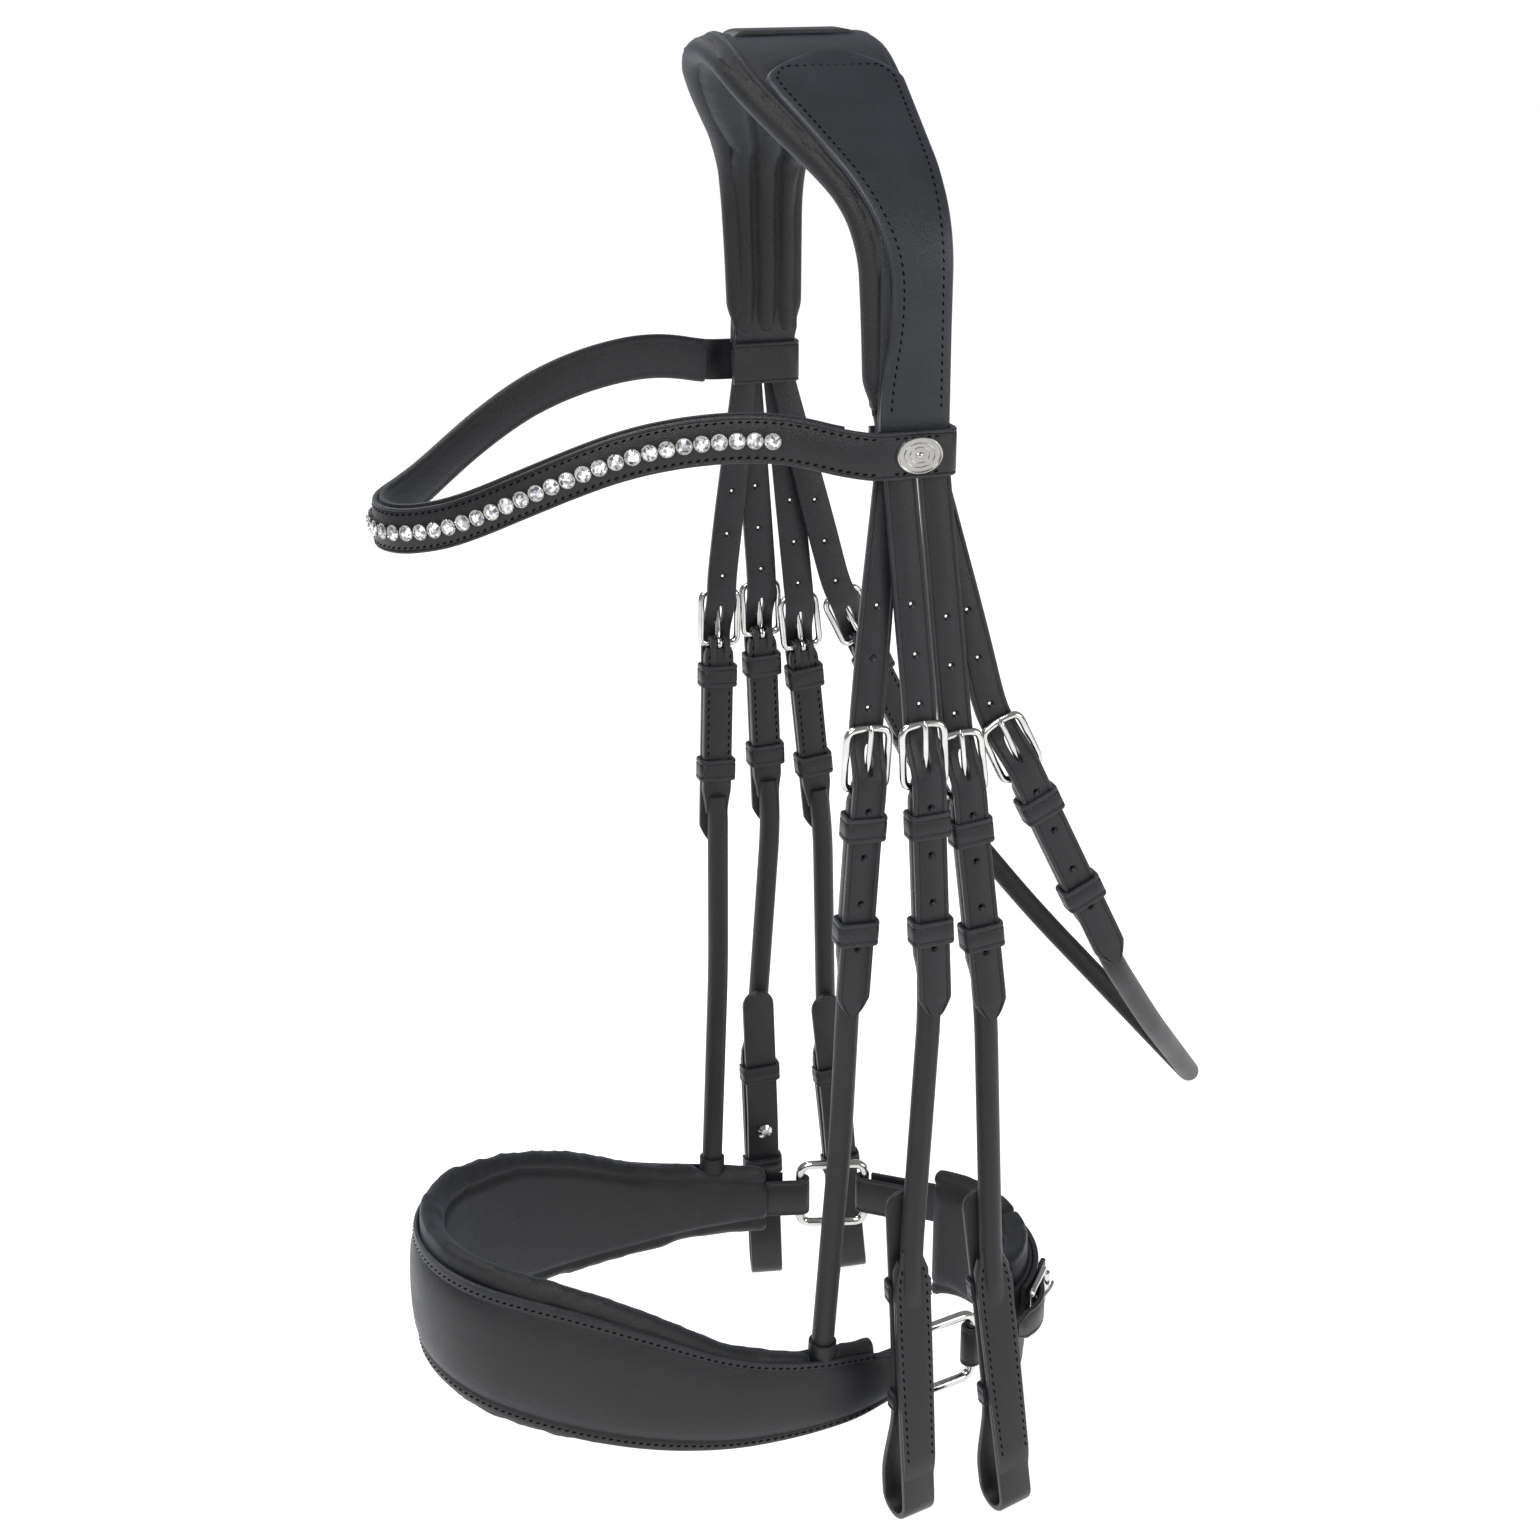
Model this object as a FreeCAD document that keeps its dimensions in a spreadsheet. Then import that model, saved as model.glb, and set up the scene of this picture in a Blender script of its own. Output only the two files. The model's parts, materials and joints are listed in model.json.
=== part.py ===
"""Double bridle without bits and reins: padded headpiece, browband, four cheeks, noseband, throatlash.

Frame: origin at the underside of the poll padding, +X to the horse's left, -Y to the nose, +Z up.
Lengths are in millimetres.  Every strap hangs from a buckle station: a local frame whose origin is
the centre of the buckle's top bar, with x outward from the horse, y rearward and z up the strap.
"""
import FreeCAD
import Part
import Sketcher
import math
import os

V = FreeCAD.Vector
doc = FreeCAD.newDocument("Bridle")
sheet = doc.addObject("Spreadsheet::Sheet", "Sizes")
nodes = {}


class Size:
    """A length that carries its value and the spreadsheet expression it came from."""

    def __init__(self, value, text):
        self.value = value
        self.text = text

    def join(self, other, sign, value, swapped=False):
        other_text = other.text if isinstance(other, Size) else repr(float(other))
        first, second = (other_text, self.text) if swapped else (self.text, other_text)
        return Size(value, "(" + first + " " + sign + " " + second + ")")

    def __add__(self, other):
        return self.join(other, "+", self.value + number(other))

    def __radd__(self, other):
        return self.join(other, "+", self.value + number(other), True)

    def __sub__(self, other):
        return self.join(other, "-", self.value - number(other))

    def __rsub__(self, other):
        return self.join(other, "-", number(other) - self.value, True)

    def __mul__(self, other):
        return self.join(other, "*", self.value * number(other))

    def __rmul__(self, other):
        return self.join(other, "*", self.value * number(other), True)

    def __truediv__(self, other):
        return self.join(other, "/", self.value / number(other))

    def __neg__(self):
        return Size(-self.value, "(0 - " + self.text + ")")


def number(value):
    """Plain number of a Size or of a number."""
    return value.value if isinstance(value, Size) else float(value)


def driving(row, alias, value):
    """Put one driving dimension in the sheet and hand it back as a Size."""
    sheet.set("A" + str(row), alias.replace("_", " "))
    sheet.set("B" + str(row), str(value))
    sheet.setAlias("B" + str(row), alias)
    return Size(float(value), "Sizes." + alias)


DRIVING = [
    ("strap_width", 12.7),
    ("strap_thick", 2.4),
    ("fit_gap", 0.3),
    ("bar_radius", 1.4),
    ("frame_tall", 22.0),
    ("frame_corner", 3.5),
    ("prong_thick", 2.0),
    ("eye_clearance", 0.05),
    ("slab_thick", 4.2),
    ("loop_thick", 1.4),
    ("loop_tall", 9.5),
    ("hole_radius", 1.8),
    ("hole_pitch", 18.5),
    ("first_hole", 10.5),
    ("slot_up", 5.0),
    ("slot_down", 7.0),
    ("bend_start", 4.0),
    ("bend_end", 16.5),
    ("back_offset", 2.95),
    ("front_offset", 5.0),
    ("lie_offset", 3.75),
    ("tip_reach", 113.0),
    ("tip_slant", 9.0),
    ("slab_end", 98.0),
    ("keeper_reach", 41.0),
    ("runner_reach", 83.0),
    ("roll_radius", 4.5),
    ("roll_offset", 2.25),
    ("billet_width", 14.5),
    ("billet_thick", 4.0),
    ("billet_start", 215.0),
    ("eye_radius", 6.0),
    ("eye_reach", 329.0),
    ("return_thick", 2.6),
    ("return_gap", 3.0),
    ("return_top", 190.0),
    ("stud_reach", 262.0),
    ("stud_radius", 1.5),
    ("stud_head", 3.4),
    ("ring_size", 30.0),
    ("ring_radius", 2.0),
    ("ring_corner", 5.5),
    ("fold_width", 8.8),
    ("roller_corner", 2.0),
    ("roller_length", 11.6),
    ("roller_radius", 2.4),
]
sizes = {alias: driving(row + 1, alias, value) for row, (alias, value) in enumerate(DRIVING)}
doc.recompute()

strap_width = sizes["strap_width"]
strap_thick = sizes["strap_thick"]
fit_gap = sizes["fit_gap"]
bar_radius = sizes["bar_radius"]
frame_tall = sizes["frame_tall"]
slab_thick = sizes["slab_thick"]
loop_thick = sizes["loop_thick"]
loop_tall = sizes["loop_tall"]
lie_offset = sizes["lie_offset"]
billet_width = sizes["billet_width"]
roll_offset = sizes["roll_offset"]
roll_radius = sizes["roll_radius"]
half_strap = strap_width / 2
strap_back = lie_offset - strap_thick / 2
strap_front = lie_offset + strap_thick / 2
side_bar = half_strap + fit_gap + bar_radius
fold_radius = bar_radius + 1.9


def plane_of(body, role):
    """Origin plane of a body, found by its role."""
    return [item for item in body.Origin.OriginFeatures if item.Role == role][0]


def bind(owner, path, value):
    """Give a property a value and, where it is a Size, its expression."""
    if isinstance(value, Size):
        owner.setExpression(path, value.text)


def new_sketch(body, role, offset=0.0):
    """Empty sketch on one of the body's origin planes, moved along the plane's normal."""
    sketch = body.newObject("Sketcher::SketchObject", body.Name + "Sketch")
    sketch.AttachmentSupport = [(plane_of(body, role), "")]
    sketch.MapMode = "FlatFace"
    sketch.AttachmentOffset = FreeCAD.Placement(V(0, 0, number(offset)), FreeCAD.Rotation())
    bind(sketch, "AttachmentOffset.Base.z", offset)
    return sketch


def fix_point(sketch, shape, end, across, up):
    """Fix one point of a sketch from the origin with bound distances."""
    for kind, value in (("DistanceX", across), ("DistanceY", up)):
        index = sketch.addConstraint(Sketcher.Constraint(kind, -1, 1, shape, end, number(value)))
        bind(sketch, "Constraints[" + str(index) + "]", value)


def polygon(sketch, points):
    """Closed outline of straight lines through bound corners."""
    start = sketch.GeometryCount
    count = len(points)
    corners = [V(number(across), number(up), 0) for across, up in points]
    for index in range(count):
        sketch.addGeometry(Part.LineSegment(corners[index], corners[(index + 1) % count]), False)
    for index in range(count):
        after = start + (index + 1) % count
        sketch.addConstraint(Sketcher.Constraint("Coincident", start + index, 2, after, 1))
    for index, (across, up) in enumerate(points):
        fix_point(sketch, start + index, 1, across, up)
    return sketch


def rectangle(sketch, left, low, right, high):
    """Closed rectangle between two bound corners."""
    return polygon(sketch, [(left, low), (right, low), (right, high), (left, high)])


def circle(sketch, across, up, radius):
    """Circle with a bound centre and radius."""
    shape = sketch.addGeometry(Part.Circle(V(number(across), number(up), 0), V(0, 0, 1), number(radius)))
    fix_point(sketch, shape, 3, across, up)
    index = sketch.addConstraint(Sketcher.Constraint("Radius", shape, number(radius)))
    bind(sketch, "Constraints[" + str(index) + "]", radius)
    return sketch


def pad(body, sketch, length, symmetric=True):
    """Pad of a sketch."""
    feature = body.newObject("PartDesign::Pad", body.Name + "Pad")
    feature.Profile = sketch
    feature.Length = number(length)
    bind(feature, "Length", length)
    feature.SideType = "Symmetric" if symmetric else "One side"
    return feature


def pocket(body, sketch):
    """Cut of a sketch through everything, both ways."""
    doc.recompute()
    before = body.Shape.Volume
    feature = body.newObject("PartDesign::Pocket", body.Name + "Pocket")
    feature.Profile = sketch
    feature.Type = "ThroughAll"
    feature.SideType = "Symmetric"
    doc.recompute()
    if not body.Shape.Volume < before:
        raise RuntimeError(body.Label + ": a pocket cut nothing")
    return feature


def new_body(label, place):
    """PartDesign body of one sub-part at its place."""
    body = doc.addObject("PartDesign::Body", label)
    body.Label = label
    body.Placement = place
    nodes[label] = body
    return body


def computed(label, shape, place=None):
    """Sub-part whose form no sketch feature fits, such as a curved band."""
    item = doc.addObject("Part::Feature", label)
    item.Label = label
    item.Shape = shape
    item.Placement = place or FreeCAD.Placement()
    nodes[label] = item
    return item


def station(side, across, rear, low, flare, slope):
    """Placement of a buckle station: flare leans the lower end outward, slope leans it rearward.

    On the right side the frame is turned about the strap, so that x still points outward.
    """
    lean = FreeCAD.Rotation(V(1, 0, 0), math.degrees(math.atan(slope)))
    splay = FreeCAD.Rotation(V(0, 1, 0), -side * math.degrees(math.atan(flare)))
    turn = FreeCAD.Rotation(V(0, 0, 1), 0 if side > 0 else 180)
    return FreeCAD.Placement(V(side * across, rear, low), lean.multiply(splay).multiply(turn))


# ---------------------------------------------------------------- pieces at a buckle station


def strap_point(label, place, root_rise, root_shift, root_in, root_width):
    """Punched strap end: behind the top bar, through the frame, over the lower bar, pointed tip."""
    body = new_body(label, place)
    back = -sizes["back_offset"]
    front = sizes["front_offset"]
    half = strap_thick / 2
    slant = half * 1.15
    path = [
        (back, 7.0),
        (back, -sizes["bend_start"]),
        (front, -sizes["bend_end"]),
        (front, -frame_tall - 5.0),
        (lie_offset, -frame_tall - 14.0),
        (lie_offset, -sizes["tip_reach"] + sizes["tip_slant"]),
    ]
    spread = [half, slant, slant, half, half, half]
    outer = [(across + wide, up) for (across, up), wide in zip(path, spread)]
    inner = [(across - wide, up) for (across, up), wide in zip(path, spread)]
    pad(body, polygon(new_sketch(body, "XZ_Plane"), outer + inner[::-1]), strap_width)
    lower = -sizes["tip_reach"] + sizes["tip_slant"]
    tip = [(-half_strap, lower + 0.5), (half_strap, lower + 0.5), (half_strap, lower)]
    tip = tip + [(half_strap / 3, -sizes["tip_reach"] + 1.2), (0.0, -sizes["tip_reach"])]
    tip = tip + [(-half_strap / 3, -sizes["tip_reach"] + 1.2), (-half_strap, lower)]
    pad(body, polygon(new_sketch(body, "YZ_Plane", strap_back), tip), strap_thick, False)
    low_end = new_sketch(body, "XY_Plane", 6.9)
    rectangle(low_end, back - half, -half_strap, back + half, half_strap)
    high_end = new_sketch(body, "XY_Plane", root_rise)
    middle = root_width / 2
    rectangle(high_end, root_in - half, root_shift - middle, root_in + half, root_shift + middle)
    doc.recompute()
    loft = body.newObject("PartDesign::AdditiveLoft", body.Name + "Loft")
    loft.Profile = low_end
    loft.Sections = [high_end]
    loft.Ruled = True
    doc.recompute()
    pitch = sizes["hole_pitch"]
    first = -sizes["first_hole"]
    punched = new_sketch(body, "YZ_Plane")
    for count in range(-4, 4):
        if count == 0:
            rectangle(punched, -1.7, first - sizes["slot_down"], 1.7, first + sizes["slot_up"])
            continue
        up = first + pitch * float(count)
        rise = max(0.0, (number(up) - 6.9) / (root_rise - 6.9))
        circle(punched, root_shift * rise, up, sizes["hole_radius"])
    pocket(body, punched)
    return body


def wire_frame(body, wide, tall, radius, corner):
    """Rounded wire frame with its top bar at the origin and its lower bar one height down."""
    path = new_sketch(body, "YZ_Plane")
    bend = number(corner)
    signs = [(1, 0), (-1, 0), (-1, 1), (1, 1)]
    for index, (across, low) in enumerate(signs):
        centre = V(across * (number(wide) - bend), bend - number(tall) if low else -bend, 0)
        turn = index * math.pi / 2
        bow = Part.ArcOfCircle(Part.Circle(centre, V(0, 0, 1), bend), turn, turn + math.pi / 2)
        path.addGeometry(bow, False)
    for index in range(4):
        ends = [path.getPoint(index, 2), path.getPoint((index + 1) % 4, 1)]
        path.addGeometry(Part.LineSegment(ends[0], ends[1]), False)
    for index in range(4):
        path.addConstraint(Sketcher.Constraint("Tangent", index, 2, 4 + index, 1))
        path.addConstraint(Sketcher.Constraint("Tangent", 4 + index, 2, (index + 1) % 4, 1))
    for index, (across, low) in enumerate(signs):
        if index < 3:
            up = corner - tall if low else -corner
            fix_point(path, index, 3, (wide - corner) * float(across), up)
    spot = path.addConstraint(Sketcher.Constraint("Radius", 0, bend))
    bind(path, "Constraints[" + str(spot) + "]", corner)
    wire = circle(new_sketch(body, "XZ_Plane"), 0.0, 0.0, radius)
    doc.recompute()
    pipe = body.newObject("PartDesign::AdditivePipe", body.Name + "Pipe")
    pipe.Profile = wire
    pipe.Spine = (path, ["Edge" + str(index + 1) for index in range(8)])
    doc.recompute()
    return pipe


def buckle(label, place, corner=sizes["frame_corner"]):
    """Buckle frame of one strap."""
    body = new_body(label, place)
    wire_frame(body, side_bar, frame_tall, bar_radius, corner)
    return body


def prong(label, place, bar=bar_radius):
    """Tongue that turns on the lower bar; its end rests on the front of the top bar."""
    body = new_body(label, place)
    half = sizes["prong_thick"] / 2
    inner = bar_radius + sizes["eye_clearance"]
    outer = inner + 1.1
    rest = bar + half + 0.35
    bottom = outer * 0.6 - frame_tall
    side = new_sketch(body, "XZ_Plane")
    polygon(side, [(0.3, bottom), (2.3, bottom), (rest + half, 2.2), (rest - half, 2.2)])
    pad(body, side, sizes["prong_thick"])
    pad(body, circle(new_sketch(body, "XZ_Plane"), 0.0, -frame_tall, outer), 2.8)
    pocket(body, circle(new_sketch(body, "XZ_Plane"), 0.0, -frame_tall, inner))
    return body


def strap_loop(label, place, reach, slack):
    """Flat leather loop round the strap and the slab behind it."""
    body = new_body(label, place)
    inner_side = half_strap + slack
    inner_back = -slab_thick / 2 - slack
    inner_front = strap_front + slack
    ring = new_sketch(body, "XY_Plane", -reach)
    wall = loop_thick
    rectangle(ring, inner_back - wall, -inner_side - wall, inner_front + wall, inner_side + wall)
    rectangle(ring, inner_back, -inner_side, inner_front, inner_side)
    pad(body, ring, loop_tall)
    return body


def cheek_keepers(label, place, shift):
    """Fixed loop under the buckle and the two inner loops that hold the return strap."""
    body = strap_loop(label, place, sizes["keeper_reach"], fit_gap)
    inner_face = -roll_offset - sizes["billet_thick"] / 2
    strap_out = inner_face - sizes["return_gap"] - sizes["return_thick"]
    half = billet_width / 2
    wall = loop_thick
    for reach in (236.0, 285.0):
        sketch = new_sketch(body, "XY_Plane", -reach)
        left = shift - half - fit_gap
        right = shift + half + fit_gap
        hull = strap_out - fit_gap
        near = inner_face - 0.05
        points = [(near, left - wall), (hull - wall, left - wall), (hull - wall, right + wall)]
        points = points + [(near, right + wall), (near, right), (hull, right), (hull, left), (near, left)]
        pad(body, polygon(sketch, points), 8.0)
    return body


def fold_and_slab(body):
    """Leather folded round the lower bar and stitched flat below it, with a slot for the prong."""
    pad(body, circle(new_sketch(body, "XZ_Plane"), 0.0, -frame_tall, fold_radius), sizes["fold_width"])
    half = slab_thick / 2
    side = new_sketch(body, "XZ_Plane")
    rectangle(side, -half, -sizes["slab_end"], half, -frame_tall - bar_radius - 0.35)
    pad(body, side, strap_width)
    pocket(body, circle(new_sketch(body, "XZ_Plane"), 0.0, -frame_tall, bar_radius + 0.05))
    slot = new_sketch(body, "YZ_Plane")
    rectangle(slot, -1.7, -frame_tall - fold_radius - 1.2, 1.7, -frame_tall + fold_radius + 1.0)
    pocket(body, slot)


def roll(body, points, radius):
    """Rolled leather along straight runs in the plane of the strap, joined by tangent arcs."""
    path = new_sketch(body, "YZ_Plane", -roll_offset)
    corners = [V(number(across), number(up), 0) for across, up in points]
    ends = [corners[0]]
    arcs = []
    for index in range(1, len(corners) - 1):
        before = (corners[index - 1] - corners[index]).normalize()
        after = (corners[index + 1] - corners[index]).normalize()
        near = corners[index] + before * 9.0
        far = corners[index] + after * 9.0
        turn = (math.pi - before.getAngle(after)) / 2
        middle = (before + after).normalize()
        centre_far = 9.0 / math.sin(turn)
        bend = 9.0 / math.tan(turn)
        centre = corners[index] + middle * centre_far
        arcs.append(Part.Arc(near, centre - middle * bend, far))
        ends.extend([near, far])
    ends.append(corners[-1])
    for index in range(0, len(ends), 2):
        path.addGeometry(Part.LineSegment(ends[index], ends[index + 1]), False)
        if index // 2 < len(arcs):
            path.addGeometry(arcs[index // 2], False)
    for index in range(path.GeometryCount):
        path.addConstraint(Sketcher.Constraint("Block", index))
    section = new_sketch(body, "XY_Plane", points[0][1])
    circle(section, -roll_offset, points[0][0], radius)
    doc.recompute()
    pipe = body.newObject("PartDesign::AdditivePipe", body.Name + "Roll")
    pipe.Profile = section
    pipe.Spine = (path, ["Edge" + str(index + 1) for index in range(path.GeometryCount)])
    doc.recompute()
    return pipe


def cheekpiece(label, place, shift, sway):
    """Cheek leather: buckle fold, rolled middle, flat billet, bit loop and return strap."""
    body = new_body(label, place)
    fold_and_slab(body)
    slab_low = -sizes["slab_end"] + 1.0
    middle = -sizes["billet_start"]
    roll(body, [(0.0, slab_low), (0.0, -112.0), (sway, middle - 2.0), (sway, middle - 16.0)], roll_radius)
    half = sizes["billet_thick"] / 2
    outer = half - roll_offset
    inner = -half - roll_offset
    radius = sizes["eye_radius"]
    centre = inner - radius
    eye = -sizes["eye_reach"]
    back = sizes["return_thick"]
    face = inner - sizes["return_gap"]
    far = centre - radius
    leg = new_sketch(body, "XZ_Plane", -shift)
    points = [(outer, middle), (outer, eye + 22.0), (inner + back, eye + 10.0), (inner + back, eye - 0.1)]
    points = points + [(inner, eye - 0.1), (inner, middle)]
    pad(body, polygon(leg, points), billet_width)
    returned = new_sketch(body, "XZ_Plane", -shift)
    points = [(face, -sizes["return_top"]), (face, eye + 40.0), (far, eye + 12.0), (far, eye - 0.1)]
    points = points + [(far - back, eye - 0.1), (far - back, eye + 12.6), (face - back, eye + 40.6)]
    points = points + [(face - back, -sizes["return_top"])]
    pad(body, polygon(returned, points), billet_width)
    curl = new_sketch(body, "XZ_Plane", -shift)
    circle(curl, centre, eye, radius + back)
    circle(curl, centre, eye, radius)
    pad(body, curl, billet_width)
    between = new_sketch(body, "XZ_Plane", -shift)
    points = [(inner, eye), (far, eye), (far, eye + 12.0), (face, eye + 40.0), (inner, eye + 40.0)]
    pocket(body, polygon(between, points))
    hole = new_sketch(body, "YZ_Plane")
    circle(hole, shift, -sizes["stud_reach"], sizes["stud_radius"] + 0.05)
    pocket(body, hole)
    return body


def hook_stud(label, place, shift):
    """Stud that closes the return strap: a turned pin with a flat foot and a domed head."""
    inner = -roll_offset - sizes["billet_thick"] / 2
    outer = sizes["billet_thick"] / 2 - roll_offset
    strap_out = inner - sizes["return_gap"] - sizes["return_thick"]
    body = new_body(label, place)
    head = sizes["stud_head"]
    stem = sizes["stud_radius"]
    turned = new_sketch(body, "XY_Plane", -sizes["stud_reach"])
    left = strap_out - 0.3
    points = [(outer - 0.2, shift), (left - 2.2, shift), (left - 2.2, shift + head * 0.5)]
    points = points + [(left - 1.2, shift + head), (left, shift + head), (left, shift + stem)]
    points = points + [(outer - 0.2, shift + stem)]
    polygon(turned, points)
    axis = turned.addGeometry(Part.LineSegment(V(-20, number(shift), 0), V(0, number(shift), 0)), True)
    turned.addConstraint(Sketcher.Constraint("Block", axis))
    doc.recompute()
    spin = body.newObject("PartDesign::Revolution", body.Name + "Turned")
    spin.Profile = turned
    spin.ReferenceAxis = (turned, ["Axis0"])
    spin.Angle = 360.0
    doc.recompute()
    return body


# ---------------------------------------------------------------- curved soft pieces


def walk(start, heading, legs, offset=0.0):
    """Edges of a path of arcs and lines, moved to its right by offset.

    Each leg is (length, 0) for a line or (radius, turn) for an arc; turn is in degrees, left positive.
    """
    place = V(start[0], start[1], 0)
    angle = math.radians(heading)
    edges = []
    for extent, turn in legs:
        ahead = V(math.cos(angle), math.sin(angle), 0)
        right = V(ahead.y, -ahead.x, 0)
        if turn == 0:
            after = place + ahead * extent
            edges.append(Part.LineSegment(place + right * offset, after + right * offset).toShape())
            place = after
            continue
        sense = 1 if turn > 0 else -1
        centre = place - right * extent * sense
        spokes = []
        for part in (0.0, 0.5, 1.0):
            spin = FreeCAD.Rotation(V(0, 0, 1), turn * part)
            spokes.append(spin.multVec(right * (extent * sense + offset)))
        points = [centre + spoke for spoke in spokes]
        edges.append(Part.Arc(points[0], points[1], points[2]).toShape())
        place = centre + FreeCAD.Rotation(V(0, 0, 1), turn).multVec(right * extent * sense)
        angle = angle + math.radians(turn)
    return edges


def band_face(start, heading, legs, near, far):
    """Face between two offsets of a path."""
    inner = walk(start, heading, legs, near)
    outer = walk(start, heading, legs, far)
    first = Part.LineSegment(inner[0].Vertexes[0].Point, outer[0].Vertexes[0].Point).toShape()
    last = Part.LineSegment(inner[-1].Vertexes[-1].Point, outer[-1].Vertexes[-1].Point).toShape()
    return Part.Face(Part.Wire(Part.__sortEdges__(inner + outer + [first, last])))


def outline_face(points):
    """Face through points; a point with a third value closes an arc through it to the next one."""
    edges = []
    corners = [V(point[0], point[1], 0) for point in points]
    index = 0
    count = len(points)
    while index < count:
        after = (index + 1) % count
        if len(points[after]) == 3:
            last = (after + 1) % count
            edges.append(Part.Arc(corners[index], corners[after], corners[last]).toShape())
            index = index + 2
        else:
            edges.append(Part.LineSegment(corners[index], corners[after]).toShape())
            index = index + 1
    return Part.Face(Part.Wire(edges))


def side_prism(points):
    """Prism along X over an outline given as (y, z)."""
    prism = outline_face(points).extrude(V(0, 0, 400))
    turned = FreeCAD.Rotation(V(0, 1, 0), V(0, 0, 1), V(1, 0, 0), "ZXY")
    prism.Placement = FreeCAD.Placement(V(-200, 0, 0), turned)
    return prism


def both_sides(shape):
    """A shape joined to its mirror image across the middle plane."""
    return shape.fuse(shape.mirror(V(0, 0, 0), V(1, 0, 0))).removeSplitter()


def plan_band(plan, near, far, outline):
    """Upright band that follows a plan path on both sides, cut to a side outline."""
    start, legs = plan
    face = band_face(start, 0, legs, near, far)
    solid = face.extrude(V(0, 0, 700))
    solid.translate(V(0, 0, -650))
    return both_sides(solid).common(side_prism(outline))


ARCH_START = (0, 0)
ARCH_LEGS = [(41.6, -37), (46.0, 0), (36.6, -53), (53.4, 0)]
CROWN_DEEP = 13.4
PANEL_THICK = 2.8


def arch_band(legs, near, far, outline, start=ARCH_START, heading=0):
    """Piece of the arch over the poll between two depths above the lining, cut to a side outline."""
    face = band_face(start, heading, legs, -far, -near)
    solid = face.extrude(V(0, 0, 200))
    turned = FreeCAD.Rotation(V(1, 0, 0), V(0, 0, 1), V(0, -1, 0), "XYZ")
    solid.Placement = FreeCAD.Placement(V(0, 100, 0), turned)
    return both_sides(solid).common(side_prism(outline))


def crown():
    """Padding, side panels, loop over the poll and the inner layer of the headpiece."""
    short = ARCH_LEGS[:3] + [(48.0, 0)]
    edge = [(-35, 20), (-36, 4), (-30, -7), (-19, -21), (-6, -37), (-1, -55), (0.5, -80), (2, -120)]
    soft = edge + [(29, -120), (29.5, -40), (28.5, 20)]
    whole = arch_band(short, 0.0, 8.0, soft)
    upper = arch_band(ARCH_LEGS[:3], 8.0, CROWN_DEEP - PANEL_THICK - 0.2, soft)
    computed("crown_padding", whole.fuse(upper).removeSplitter())
    top = walk(ARCH_START, 0, ARCH_LEGS[:1])[-1].Vertexes[-1].Point
    shape = [(-25, 20), (-25, 0), (-13, -18), (0, -40), (7, -60), (7, -82), (3.1, -104), (3.1, -120)]
    shape = shape + [(28.6, -120), (28.0, 20)]
    panel = arch_band(ARCH_LEGS[1:], CROWN_DEEP - PANEL_THICK, CROWN_DEEP, shape, (top.x, top.y), -37)
    computed("crown_panels", panel)
    drop = walk(ARCH_START, 0, ARCH_LEGS[:3])[-1].Vertexes[-1].Point
    inner = [(3.3, -60), (3.3, -125), (28.4, -125), (28.4, -60)]
    tab_legs = [(55.4, 0)]
    depth = CROWN_DEEP - PANEL_THICK - 0.2
    tabs = arch_band(tab_legs, 8.2, depth, inner, (drop.x, drop.y - 0.3), -90)
    computed("headstall_tabs", tabs)
    body = new_body("poll_loop", FreeCAD.Placement())
    points = [(-24.0, 10.7), (-24.0, 12.6), (-20.0, 14.6), (18.0, 14.6), (22.0, 12.6), (22.0, 10.7)]
    points = points + [(17.5, 10.7), (16.0, 12.6), (-18.0, 12.6), (-19.5, 10.7)]
    pad(body, polygon(new_sketch(body, "YZ_Plane"), points), 15.0)


BROW_PLAN = ((0, -157), [(28, 44), (170, 26), (88, 0), (16, 20), (4, 0)])
BROW_LEATHER = 2.4
CRYSTAL_PITCH = 6.1
CRYSTALS_PER_SIDE = 27
CHANNEL_END = -20
LOOP_FRONT = 1.2
LOOP_REAR = 30.8
LOOP_IN = 79.8
LOOP_OUT = 93.8


def wave(rise, fall):
    """Side outline of the browband, rise above and fall below its middle line."""
    lines = [(rise, 1), (-fall, -1)]
    rims = []
    for height, sense in lines:
        rim = [(40, -124.5 + height), (-6, -124.5 + height), (-36, -118.2 + height, 1), (-92, -129 + height)]
        rim = rim + [(-130, -149 + height), (-146, -156 + height, 1), (-190, -159.5 + height)]
        rims.append(rim)
    lower = rims[1][::-1]
    return rims[0] + lower


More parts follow.
